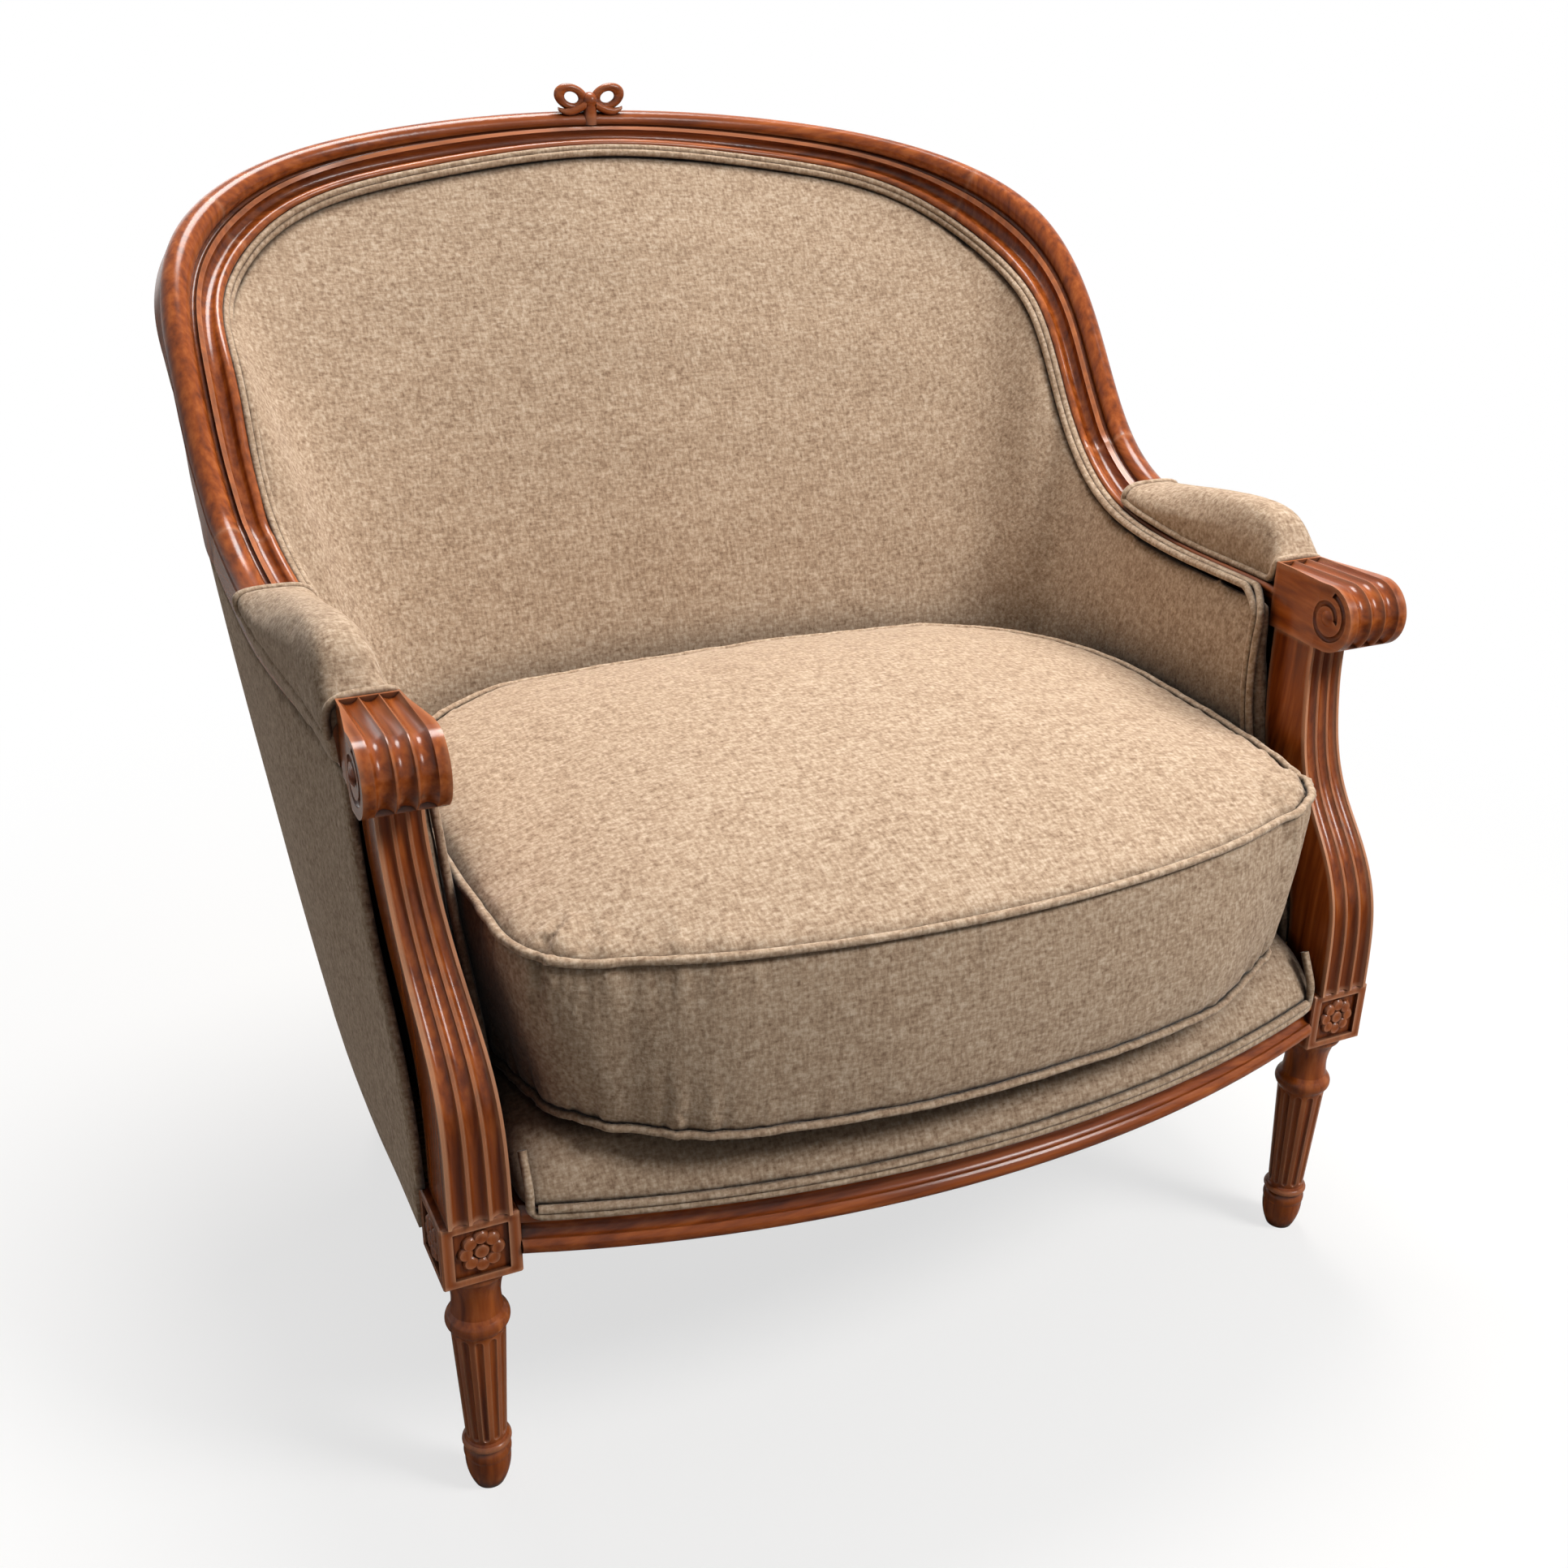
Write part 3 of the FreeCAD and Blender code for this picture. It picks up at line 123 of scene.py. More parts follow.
# The border's height over the welt's foot: where it starts to give to the cushion, and the rise to its edge.
BORDER_FOOT = 0.010
BORDER_RISE = 0.040
# How far the cushion presses that edge back and down, and how far back the pressing reaches.
PRESS = Vector((0, 0.016, -0.024))
PRESS_BACK = 0.12
# Distance between the hem's two cords, in radii of a cord, and width of the solid hem's end.
HEM_PITCH = 1.7
HEM_END = 0.004
# Upright cords at the border's ends: shift from the solid hem's corner, highest and lowest point, and lean.
END_SHIFT = (0.005, 0.003)
END_TOP = 0.036
END_FOOT = 0.008
END_LEAN = 0.021

# Cushion: points along a seam, share of the half width at which the front's bow is read, and room for it.
SEAM_POINTS = 260
BOW_AT = 0.7
BOW_ROOM = 0.01
# The case's distance from the core, and the round of the front corners before and after drawing in.
SKIN = 0.0026
TURN = 0.066
CORNER = 0.17
# Shares of the drawing in at the upper and at the lower seam.
DRAW_TOP = 0.2
DRAW_FOOT = 0.7
# How far the front edge sinks, its foot hangs down and its foot comes forward, and where the sinking ends.
SINK = 0.008
HANG = 0.020
FORWARD = 0.012
SINK_BACK = 0.18
# Width beside the seams that the filling can't move, and the most that the sides and the front swell.
SEAM_HOLD = 0.010
SIDE_SWELL = 0.0025
FRONT_SWELL = 0.005
# Gathers: height along the seams, more at the front corners, and how far from a seam they are deepest.
GATHER = 0.0010
GATHER_CORNER = 0.0080
GATHER_OFF = 0.012
# Noise that folds the case along a seam: its steps from point to point, its row, its gain and its level.
FOLD_STEP = 0.6
FOLD_ROW = (3.4, 0.7)
FOLD_GAIN = 1.6
FOLD_LEVEL = 0.3
# Middle of a gathered corner, in from the side and back from the front, and its reach.
CORNER_IN = 0.05
CORNER_BACK = 0.08
CORNER_REACH = 0.09
# How deep the seam pinches the case, how wide the pinch is, and how far out a cord lies, in its own radii.
PINCH = 0.0018
PINCH_REACH = 0.007
CORD_OUT = 0.7

# Lamps: name, place, diameter, watts, tint and spread in degrees; all shine on one point of the chair.
LAMPS = (
    ("key", (0.45, 0.95, 3.3), 1.4, 100.0, (1.0, 0.98, 0.96), 180),
    ("front", (1.5, -1.8, 2.4), 1.0, 8.0, (1.0, 0.99, 0.98), 60),
    ("back", (-0.8, 2.4, 1.4), 1.6, 8.0, (1.0, 0.99, 0.98), 180),
)
LIT_POINT = Vector((0.0, -0.1, 0.35))
WORLD_LIGHT = 0.14
FLOOR_RADIUS = 9.0

# Camera: its place, the point it looks at, its roll in degrees, and its lens on a 36 mm wide frame.
EYE = Vector((-0.6108, -1.3602, 1.0578))
LOOK = Vector((-0.0611, -0.1996, 0.45))
ROLL = 0.939
LENS = 40.59
SHIFT = (-0.0031, 0.0103)


def linear(code):
    """sRGB hex to linear RGBA."""
    parts = [int(code[i:i + 2], 16) / 255 for i in (1, 3, 5)]
    return [c / 12.92 if c <= 0.04045 else ((c + 0.055) / 1.055) ** 2.4 for c in parts] + [1.0]


class ChairSettings(bpy.types.PropertyGroup):
    """Sizes and colours of the chair that a user would change."""

    stain: FloatVectorProperty(
        name="Wood stain", description="Middle tone of the polished wood",
        subtype="COLOR", size=4, min=0, max=1, default=linear("#9a4a18"))
    stain_dark: FloatVectorProperty(
        name="Stain in grain", description="Dark tone of the grain",
        subtype="COLOR", size=4, min=0, max=1, default=linear("#6c2f0f"))
    stain_light: FloatVectorProperty(
        name="Light grain", description="Light tone of the grain",
        subtype="COLOR", size=4, min=0, max=1, default=linear("#b8632a"))
    # Pale tone painted on ridges: partly wear from hands, partly a painted highlight.
    rubbed_and_highlight: FloatVectorProperty(
        name="Rubbed ridges", description="Pale tone of the most rubbed ridges",
        subtype="COLOR", size=4, min=0, max=1, default=linear("#e0a680"))
    # Near-black tone of the painted shade in the wood's hollows.
    hollow_shade_colour: FloatVectorProperty(
        name="Old polish", description="Dark tone of the polish left in hollows",
        subtype="COLOR", size=4, min=0, max=1, default=linear("#240f08"))
    cloth: FloatVectorProperty(
        name="Chenille", description="Middle tone of the cover",
        subtype="COLOR", size=4, min=0, max=1, default=linear("#b89e84"))
    cloth_dark: FloatVectorProperty(
        name="Dark yarn", description="Dark flecks of the cover",
        subtype="COLOR", size=4, min=0, max=1, default=linear("#8b7059"))
    cloth_light: FloatVectorProperty(
        name="Light yarn", description="Light flecks of the cover",
        subtype="COLOR", size=4, min=0, max=1, default=linear("#d8c3ab"))
    yarn: FloatProperty(
        name="Yarn width", description="Width of one chenille yarn as drawn",
        unit="LENGTH", default=0.0026, min=0.0005, max=0.01)
    welt: FloatProperty(
        name="Welt radius", description="Radius of one welt cord",
        unit="LENGTH", default=0.0034, min=0.001, max=0.01)
    fullness: FloatProperty(
        name="Cushion fullness", description="Most that the cushion top swells",
        unit="LENGTH", default=0.012, min=0.0, max=0.03)


def add(tree, kind, inputs=None, links=None, stops=None, **settings):
    """One shader node with settings, values and links; a ramp's stops are its two ends, then its middle."""
    node = tree.nodes.new(kind)
    for name, value in settings.items():
        setattr(node, name, value)
    for name, value in (inputs or {}).items():
        node.inputs[name].default_value = value
    for name, source in (links or {}).items():
        tree.links.new(source, node.inputs[name])
    for i, (place, colour) in enumerate(stops or []):
        mark = node.color_ramp.elements[i] if i < 2 else node.color_ramp.elements.new(place)
        mark.position = place
        mark.color = colour
    return node


def new_material(name):
    """A material by name with its node tree and shader, or one made earlier with neither."""
    found = bpy.data.materials.get(name)
    if found:
        return found, None, None
    material = bpy.data.materials.new(name)
    material.use_nodes = True
    tree = material.node_tree
    return material, tree, tree.nodes["Principled BSDF"]


def polished_beech(name, along, rub_and_highlight, chair):
    """Stained, polished beech: soft grain, sharp highlights, painted shade in the hollows, ridges painted
    pale as wear and highlight.
    """
    material, tree, surface = new_material(name)
    if tree is None:
        return material
    grain_width = 0.007
    pore_width = 0.0012
    stretch = [0.05 if axis == along else 1.0 for axis in "XYZ"]
    spot = add(tree, "ShaderNodeTexCoord")
    run = add(tree, "ShaderNodeMapping", {"Scale": stretch}, {"Vector": spot.outputs["Object"]})
    grain = add(tree, "ShaderNodeTexNoise", {"Scale": 1 / grain_width, "Detail": 3.0, "Roughness": 0.55},
                {"Vector": run.outputs["Vector"]})
    pores = add(tree, "ShaderNodeTexNoise", {"Scale": 1 / pore_width, "Detail": 2.0},
                {"Vector": run.outputs["Vector"]})
    tone = add(tree, "ShaderNodeValToRGB", None, {"Fac": grain.outputs["Fac"]},
               [(0.28, chair.stain_dark), (0.74, chair.stain_light), (0.52, chair.stain)])
    # Ridges are painted pale, partly as wear from hands and partly as a painted highlight along them, on
    # some pieces more than on others.
    ridge = add(tree, "ShaderNodeAmbientOcclusion", {"Distance": 0.005}, samples=6, inside=True)
    rubbed_and_highlight = add(tree, "ShaderNodeMapRange",
                 {"From Min": 0.4, "From Max": 0.95, "To Min": rub_and_highlight, "To Max": 0.0},
                 {"Value": ridge.outputs["AO"]})
    worn_and_highlight = add(tree, "ShaderNodeMix", {7: chair.rubbed_and_highlight},
               {0: rubbed_and_highlight.outputs["Result"], 6: tone.outputs["Color"]}, data_type="RGBA")
    # Painted shade: the hollows are darkened towards a near-black brown.
    painted_shade_ao = add(tree, "ShaderNodeAmbientOcclusion", {"Distance": 0.012}, samples=6)
    shade = add(tree, "ShaderNodeMapRange",
                {"From Min": 0.3, "From Max": 0.95, "To Min": 0.93, "To Max": 0.0},
                {"Value": painted_shade_ao.outputs["AO"]})
    shaded_in_hollows = add(tree, "ShaderNodeMix", {7: chair.hollow_shade_colour},
                 {0: shade.outputs["Result"], 6: worn_and_highlight.outputs[2]}, data_type="RGBA")
    tree.links.new(shaded_in_hollows.outputs[2], surface.inputs["Base Color"])
    relief = add(tree, "ShaderNodeBump", {"Strength": 0.06, "Distance": 0.0003},
                 {"Height": pores.outputs["Fac"]})
    tree.links.new(relief.outputs["Normal"], surface.inputs["Normal"])
    surface.inputs["Roughness"].default_value = 0.22
    surface.inputs["Specular IOR Level"].default_value = 0.27
    return material


def chenille(chair):
    """Woven chenille: soft mottled yarns crossing at right angles, dull and pebbled with a faint nap."""
    material, tree, surface = new_material("Chenille")
    if tree is None:
        return material
    fleck_length = 0.012
    spot = add(tree, "ShaderNodeTexCoord")
    weft = add(tree, "ShaderNodeMapping", {"Scale": (0.4, 1.0, 1.0)}, {"Vector": spot.outputs["Object"]})
    warp = add(tree, "ShaderNodeMapping", {"Scale": (1.0, 0.45, 0.4)}, {"Vector": spot.outputs["Object"]})
    # Yarns are drawn wider than real ones, so that the weave shows at the render's size.
    across = add(tree, "ShaderNodeTexNoise", {"Scale": 1 / chair.yarn, "Detail": 2.0, "Roughness": 0.6},
                 {"Vector": weft.outputs["Vector"]})
    upright = add(tree, "ShaderNodeTexNoise", {"Scale": 1 / chair.yarn, "Detail": 2.0, "Roughness": 0.6},
                  {"Vector": warp.outputs["Vector"]})
    weave = add(tree, "ShaderNodeMath", None, {0: across.outputs["Fac"], 1: upright.outputs["Fac"]},
                operation="ADD")
    # Yarns of one tone lie together in flecks.
    fleck = add(tree, "ShaderNodeTexNoise", {"Scale": 1 / fleck_length, "Detail": 2.0},
                {"Vector": weft.outputs["Vector"]})
    mottled = add(tree, "ShaderNodeMath", {1: 0.25}, {0: fleck.outputs["Fac"], 2: weave.outputs["Value"]},
                  operation="MULTIPLY_ADD")
    tone = add(tree, "ShaderNodeMapRange", {"From Min": 0.72, "From Max": 1.53},
               {"Value": mottled.outputs["Value"]})
    colour = add(tree, "ShaderNodeValToRGB", None, {"Fac": tone.outputs["Result"]},
                 [(0.05, chair.cloth_dark), (0.95, chair.cloth_light), (0.50, chair.cloth)])
    # Painted shade: the cloth is darkened to nearly black where it lies close to another face, as under the
    # cushion.
    painted_shade_ao = add(tree, "ShaderNodeAmbientOcclusion", {"Distance": 0.07}, samples=5)
    shade = add(tree, "ShaderNodeMapRange", {"From Min": 0.18, "From Max": 0.85, "To Min": 0.08},
                {"Value": painted_shade_ao.outputs["AO"]})
    shaded = add(tree, "ShaderNodeVectorMath", None,
                 {0: colour.outputs["Color"], "Scale": shade.outputs["Result"]}, operation="SCALE")
    tree.links.new(shaded.outputs["Vector"], surface.inputs["Base Color"])
    relief = add(tree, "ShaderNodeBump", {"Strength": 0.30, "Distance": 0.0010},
                 {"Height": weave.outputs["Value"]})
    tree.links.new(relief.outputs["Normal"], surface.inputs["Normal"])
    surface.inputs["Roughness"].default_value = 0.92
    surface.inputs["Specular IOR Level"].default_value = 0.2
    surface.inputs["Sheen Weight"].default_value = 0.12
    surface.inputs["Sheen Roughness"].default_value = 0.5
    return material


def plain_weave(name, light, dark, pitch):
    """Hidden cloths: jute webbing, hessian or black cambric, flat and matt with an open square weave."""
    material, tree, surface = new_material(name)
    if tree is None:
        return material
    spot = add(tree, "ShaderNodeTexCoord")
    check = add(tree, "ShaderNodeTexChecker",
                {"Scale": 1 / pitch, "Color1": linear(light), "Color2": linear(dark)},
                {"Vector": spot.outputs["Object"]})
    fibre = add(tree, "ShaderNodeTexNoise", {"Scale": 2 / pitch, "Detail": 3.0},
                {"Vector": spot.outputs["Object"]})
    tone = add(tree, "ShaderNodeMapRange", {"To Min": 0.7, "To Max": 1.2}, {"Value": fibre.outputs["Fac"]})
    toned = add(tree, "ShaderNodeVectorMath", None,
                {0: check.outputs["Color"], "Scale": tone.outputs["Result"]}, operation="SCALE")
    tree.links.new(toned.outputs["Vector"], surface.inputs["Base Color"])
    relief = add(tree, "ShaderNodeBump", {"Strength": 0.4, "Distance": 0.0006},
                 {"Height": fibre.outputs["Fac"]})
    tree.links.new(relief.outputs["Normal"], surface.inputs["Normal"])
    surface.inputs["Roughness"].default_value = 0.95
    return material


def bare_beech():
    """Unfinished beech inside the frame: pale, dry and finely flecked."""
    material, tree, surface = new_material("Bare beech")
    if tree is None:
        return material
    fleck_width = 0.003
    spot = add(tree, "ShaderNodeTexCoord")
    run = add(tree, "ShaderNodeMapping", {"Scale": (0.1, 1.0, 1.0)}, {"Vector": spot.outputs["Object"]})
    fleck = add(tree, "ShaderNodeTexNoise", {"Scale": 1 / fleck_width, "Detail": 4.0},
                {"Vector": run.outputs["Vector"]})
    tone = add(tree, "ShaderNodeValToRGB", None, {"Fac": fleck.outputs["Fac"]},
               [(0.3, linear("#a97f50")), (0.7, linear("#d3ad7c"))])
    tree.links.new(tone.outputs["Color"], surface.inputs["Base Color"])
    surface.inputs["Roughness"].default_value = 0.8
    return material


def pale_floor():
    """Matt painted floor: white to the camera further out, with the chair's soft shadow near its feet."""
    material, tree, surface = new_material("Pale floor")
    if tree is None:
        return material
    surface.inputs["Roughness"].default_value = 0.9
    spot = add(tree, "ShaderNodeTexCoord")
    far = add(tree, "ShaderNodeVectorMath", None, {0: spot.outputs["Object"]}, operation="LENGTH")
    fade = add(tree, "ShaderNodeMapRange", {"From Min": 0.3, "From Max": 1.5, "To Min": 0.68},
               {"Value": far.outputs["Value"]}, interpolation_type="SMOOTHSTEP")
    ray = add(tree, "ShaderNodeLightPath")
    # The light that the floor throws back on the chair is that of a greyer floor.
    pale = add(tree, "ShaderNodeMix", {6: linear("#a09d99"), 7: linear("#f6f4f1")},
               {0: ray.outputs["Is Camera Ray"]}, data_type="RGBA")
    tree.links.new(pale.outputs[2], surface.inputs["Base Color"])
    seen = add(tree, "ShaderNodeMath", None,
               {0: fade.outputs["Result"], 1: ray.outputs["Is Camera Ray"]}, operation="MULTIPLY")
    white = add(tree, "ShaderNodeEmission", {"Color": (1, 1, 1, 1), "Strength": 1.0})
    blend = add(tree, "ShaderNodeMixShader", None,
                {0: seen.outputs["Value"], 1: surface.outputs["BSDF"], 2: white.outputs["Emission"]})
    tree.links.new(blend.outputs["Shader"], tree.nodes["Material Output"].inputs["Surface"])
    return material


def studio_world():
    """Faint even light all round, white to the camera and in reflections."""
    world = bpy.data.worlds.new("Studio")
    world.use_nodes = True
    tree = world.node_tree
    back = tree.nodes["Background"]
    back.inputs["Color"].default_value = (1.0, 0.99, 0.98, 1)
    back.inputs["Strength"].default_value = WORLD_LIGHT
    ray = add(tree, "ShaderNodeLightPath")
    shown = add(tree, "ShaderNodeBackground", {"Color": (1, 1, 1, 1), "Strength": 1.0})
    clear = add(tree, "ShaderNodeMath", None,
                {0: ray.outputs["Is Glossy Ray"], 1: ray.outputs["Is Transmission Ray"]},
                operation="MAXIMUM")
    seen = add(tree, "ShaderNodeMath", None,
               {0: clear.outputs["Value"], 1: ray.outputs["Is Camera Ray"]}, operation="MAXIMUM")
    blend = add(tree, "ShaderNodeMixShader", None,
                {0: seen.outputs["Value"], 1: back.outputs["Background"], 2: shown.outputs["Background"]})
    tree.links.new(blend.outputs["Shader"], tree.nodes["World Output"].inputs["Surface"])
    return world


def pair(*names):
    """The right and left nodes of these names."""
    return [name + "_" + side for name in names for side in SIDES]


def finish_nodes(names, material):
    """Give CAD nodes that stay in view their finish."""
    for name in names:
        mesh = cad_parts[name].data
        mesh.materials.clear()
        mesh.materials.append(material)


def copied(*names):
    """The surfaces of CAD nodes as one bmesh, merged where triangles meet."""
    bm = bmesh.new()
    for name in names:
        bm.from_mesh(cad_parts[name].data)
    bmesh.ops.remove_doubles(bm, verts=bm.verts, dist=0.00005)
    return bm


def settle(name, bm, material, body, slot, *nodes):
    """A finished bmesh becomes a piece that rides on a body and stands for CAD nodes."""
    mesh = bpy.data.meshes.new(name)
    bm.to_mesh(mesh)
    bm.free()
    mesh.materials.append(material)
    mesh.shade_smooth()
    piece = bpy.data.objects.new(name, mesh)
    bpy.context.scene.collection.objects.link(piece)
    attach(piece, body)
    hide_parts(*nodes)
    return piece


def remeshed(source, grid, rounds):
    """An even skin over a closed shape, eased by some rounds of smoothing."""
    mesh = bpy.data.meshes.new("skin")
    source.to_mesh(mesh)
    source.free()
    holder = bpy.data.objects.new("skin", mesh)
    bpy.context.scene.collection.objects.link(holder)
    remesh = holder.modifiers.new("Remesh", "REMESH")
    remesh.mode = "VOXEL"
    remesh.voxel_size = grid
    graph = bpy.context.evaluated_depsgraph_get()
    done = bpy.data.meshes.new_from_object(holder.evaluated_get(graph))
    bpy.data.objects.remove(holder)
    bpy.data.meshes.remove(mesh)
    bm = bmesh.new()
    bm.from_mesh(done)
    bpy.data.meshes.remove(done)
    for _ in range(rounds):
        bmesh.ops.smooth_vert(bm, verts=bm.verts, factor=0.5,
                              use_axis_x=True, use_axis_y=True, use_axis_z=True)
    return bm


def puffed(bm, most, held):
    """Cloth blown up from inside: most gives a point's furthest travel, held its hold from 0 to 1."""
    mesh = bpy.data.meshes.new("puff")
    bm.to_mesh(mesh)
    holder = bpy.data.objects.new("puff", mesh)
    bpy.context.scene.collection.objects.link(holder)
    group = holder.vertex_groups.new(name="held")
    start = [v.co.copy() for v in bm.verts]
    facing = [v.normal.copy() for v in bm.verts]
    for i, (co, normal) in enumerate(zip(start, facing)):
        group.add([i], held(co, normal), "REPLACE")
    cloth = holder.modifiers.new("Cloth", "CLOTH")
    how = cloth.settings
    how.quality = 4
    how.mass = 0.25
    how.tension_stiffness = 18
    how.compression_stiffness = 18
    how.shear_stiffness = 8
    how.bending_stiffness = 0.6
    how.use_pressure = True
    how.uniform_pressure_force = PRESSURE
    how.vertex_group_mass = "held"
    how.effector_weights.gravity = 0
    cloth.collision_settings.use_collision = False
    cloth.point_cache.frame_start = 1
    cloth.point_cache.frame_end = CLOTH_STEPS
    scene = bpy.context.scene
    for step in range(1, CLOTH_STEPS + 1):
        scene.frame_set(step)
    graph = bpy.context.evaluated_depsgraph_get()
    blown = holder.evaluated_get(graph).to_mesh()
    bm.verts.ensure_lookup_table()
    for i, (co, normal) in enumerate(zip(start, facing)):
        move = blown.vertices[i].co - co
        limit = most(co, normal)
        if move.length > limit:
            move = move * (limit / move.length)
        bm.verts[i].co = co + move
    bpy.data.objects.remove(holder)
    bpy.data.meshes.remove(mesh)
    scene.frame_set(1)
    bm.normal_update()
    return bm


def welt_cords(paths, radius, closed=False):
    """Round welt cords as one bmesh, each along a smooth curve through its path."""
    curve = bpy.data.curves.new("welt", "CURVE")
    curve.dimensions = "3D"
    curve.bevel_depth = radius
    curve.bevel_resolution = 3
    curve.use_fill_caps = True
    for path in paths:
        line = curve.splines.new("NURBS")
        line.points.add(len(path) - 1)
        for mark, p in zip(line.points, path):
            mark.co = (p.x, p.y, p.z, 1.0)
        line.order_u = 3
        line.use_cyclic_u = closed
        line.use_endpoint_u = not closed
        line.resolution_u = 4
    holder = bpy.data.objects.new("welt", curve)
    bpy.context.scene.collection.objects.link(holder)
    bpy.context.view_layer.update()
    mesh = bpy.data.meshes.new_from_object(holder)
    bm = bmesh.new()
    bm.from_mesh(mesh)
    bpy.data.objects.remove(holder)
    bpy.data.curves.remove(curve)
    bpy.data.meshes.remove(mesh)
    return bm


def flipped(points):
    """The same points on the chair's other side."""
    return [Vector((-p.x, p.y, p.z)) for p in points]


def tree_of(points):
    """Points sorted for a search of the nearest."""
    tree = kdtree.KDTree(len(points))
    for i, p in enumerate(points):
        tree.insert(p, i)
    tree.balance()
    return tree


def creases(node, least):
    """Sharp lines of a CAD node, each as points in order; a closed line ends on its first point."""
    bm = copied(node)
    near = {}
    for edge in bm.edges:
        if len(edge.link_faces) == 2 and edge.calc_face_angle() > least:
            a, b = edge.verts
            near.setdefault(a, []).append(b)
            near.setdefault(b, []).append(a)
    corners = [v for v in near if len(near[v]) != 2]
    used = set()
    lines = []
    for start in corners + list(near):
        for step in near[start]:
            if (start, step) in used:
                continue
            line = [start, step]
            while len(near[line[-1]]) == 2 and line[-1] is not start:
                a, b = near[line[-1]]
                line.append(b if a is line[-2] else a)
            for a, b in zip(line, line[1:]):
                used.update(((a, b), (b, a)))
            lines.append([v.co.copy() for v in line])
    bm.free()
    return lines


def section(node, y):
    """Points where the upright plane at y cuts a CAD node."""
    bm = copied(node)
    every = bm.verts[:] + bm.edges[:] + bm.faces[:]
    cut = bmesh.ops.bisect_plane(bm, geom=every, plane_co=(0, y, 0), plane_no=(0, 1, 0))
    points = [part.co.copy() for part in cut["geom_cut"] if isinstance(part, bmesh.types.BMVert)]
    bm.free()
    return points


def length(line):
    """Length of a line of points."""
    return sum((b - a).length for a, b in zip(line, line[1:]))


def evened(line, count):
    """The same line as a number of evenly spaced points."""
    step = length(line) / (count - 1)
    points = [line[0].copy()]
    walked = 0.0
    for a, b in zip(line, line[1:]):
        span = (b - a).length
        while span > 0 and walked + span >= step * len(points) - 1e-9 and len(points) < count:
            points.append(a.lerp(b, (step * len(points) - walked) / span))
        walked += span
    while len(points) < count:
        points.append(line[-1].copy())
    return points


def mean(values):
    """Mean of some numbers."""
    values = list(values)
    return sum(values) / len(values)


def share(value):
    """A number kept from 0 to 1."""
    return min(1.0, max(0.0, value))


def ripple(co, waves):
    """Uneven height of a padded skin at a point."""
    return sum(height * noise.noise(co * per_metre) for height, per_metre in waves)


def bow(half, sag):
    """A bowed front as an arc: gives how far back it lies at x, which is sag at half its width."""
    radius = (half ** 2 + sag ** 2) / (2 * sag)

    def behind(x):
        return radius - math.sqrt(radius ** 2 - x ** 2)

    return behind


class BERGERE_OT_frame(bpy.types.Operator):
    """Stain and polish the show wood, and finish the pieces hidden inside"""

    bl_idname = "bergere.frame"
    bl_label = "Polished frame"

    def execute(self, context):
        chair = context.scene.bergere
        # Each polish has its grain's direction and how pale its ridges are painted, as wear and as painted
        # highlight.
        for name, along, rub_and_highlight, nodes in (
                ("across", "X", 0.3, ["crest_rail", "crest_ribbon", "front_rail"]),
                ("front to back", "Y", 0.35, pair("arm_rail")),
                ("upright", "Z", 0.3, pair("back_stile")),
                ("upright, well rubbed", "Z", 0.85, pair("arm_support", "front_leg", "rear_leg"))):
            finish_nodes(nodes, polished_beech("Polished beech, grain " + name, along, rub_and_highlight, chair))
        hidden = pair("corner_block", "side_rail") + ["rear_rail", "frame_dowels", "back_slat"]
        finish_nodes(hidden, bare_beech())
        webbing = plain_weave("Jute webbing", "#a88a5c", "#7d6340", 0.004)
        finish_nodes(["seat_webbing", "back_webbing"], webbing)
        finish_nodes(["seat_hessian"], plain_weave("Hessian", "#b39668", "#8a6f48", 0.003))
        finish_nodes(["dust_cover"], plain_weave("Black cambric", "#2b2a29", "#1c1b1b", 0.002))
        return {"FINISHED"}


class BERGERE_OT_inside(bpy.types.Operator):
    """Tight padded cover round the inside back and arms, with its double welt"""

    bl_idname = "bergere.inside"
    bl_label = "Inside upholstery"

    def execute(self, context):
        chair = context.scene.bergere
        bm = remeshed(copied(*INSIDE), COVER_GRID, 8)
        for v in bm.verts:
            v.co += v.normal * ripple(v.co, INSIDE_WAVES)
        cover = settle("inside_cover", bm, chenille(chair), CHAIR, "upholstery", *INSIDE)

        # Of the solid welt's long edges the upper ones carry the cords; the widest lies beside the wood.
        edges = [evened(line if line[0].x > 0 else line[::-1], RIM_POINTS)
                 for line in creases("inside_welt", WELT_CREASE) if length(line) > RIM_LONG]
        heights = [mean(p.z - p.y for p in line) for line in edges]
        middle = 0.5 * (min(heights) + max(heights))
        upper = [line for line, height in zip(edges, heights) if height > middle]
        upper.sort(key=lambda line: mean(abs(p.x) for p in line))
        cloth = upper[0]
        wood = upper[-1]
        # The cords turn down along the arm's upright front edge, the innermost of its tall creases.
        fronts = [line for line in creases("inside_arm_right", CREASE)
                  if length(line) > EDGE_LONG and mean(p.y for p in line) < EDGE_BEFORE
                  and abs(line[0].z - line[-1].z) > EDGE_TALL]
        front = min(fronts, key=lambda line: mean(p.x for p in line))
        front = evened(front if front[0].z < front[-1].z else front[::-1], UPRIGHT_POINTS)
        paths = []
        for place, inward, back, room in INSIDE_CORDS:
            run = [a.lerp(b, place) for a, b in zip(wood, cloth)]
            run = [p for p in run if p.y > run[0].y + room]
            upright = [p + Vector((inward, back, 0)) for p in front if p.z < run[0].z - room]
            paths.append(upright + run + flipped(upright[::-1]))
        bm = welt_cords(paths, chair.welt)
        settle("inside_double_welt", bm, chenille(chair), CHAIR, "welt", "inside_welt")
        return {"FINISHED"}


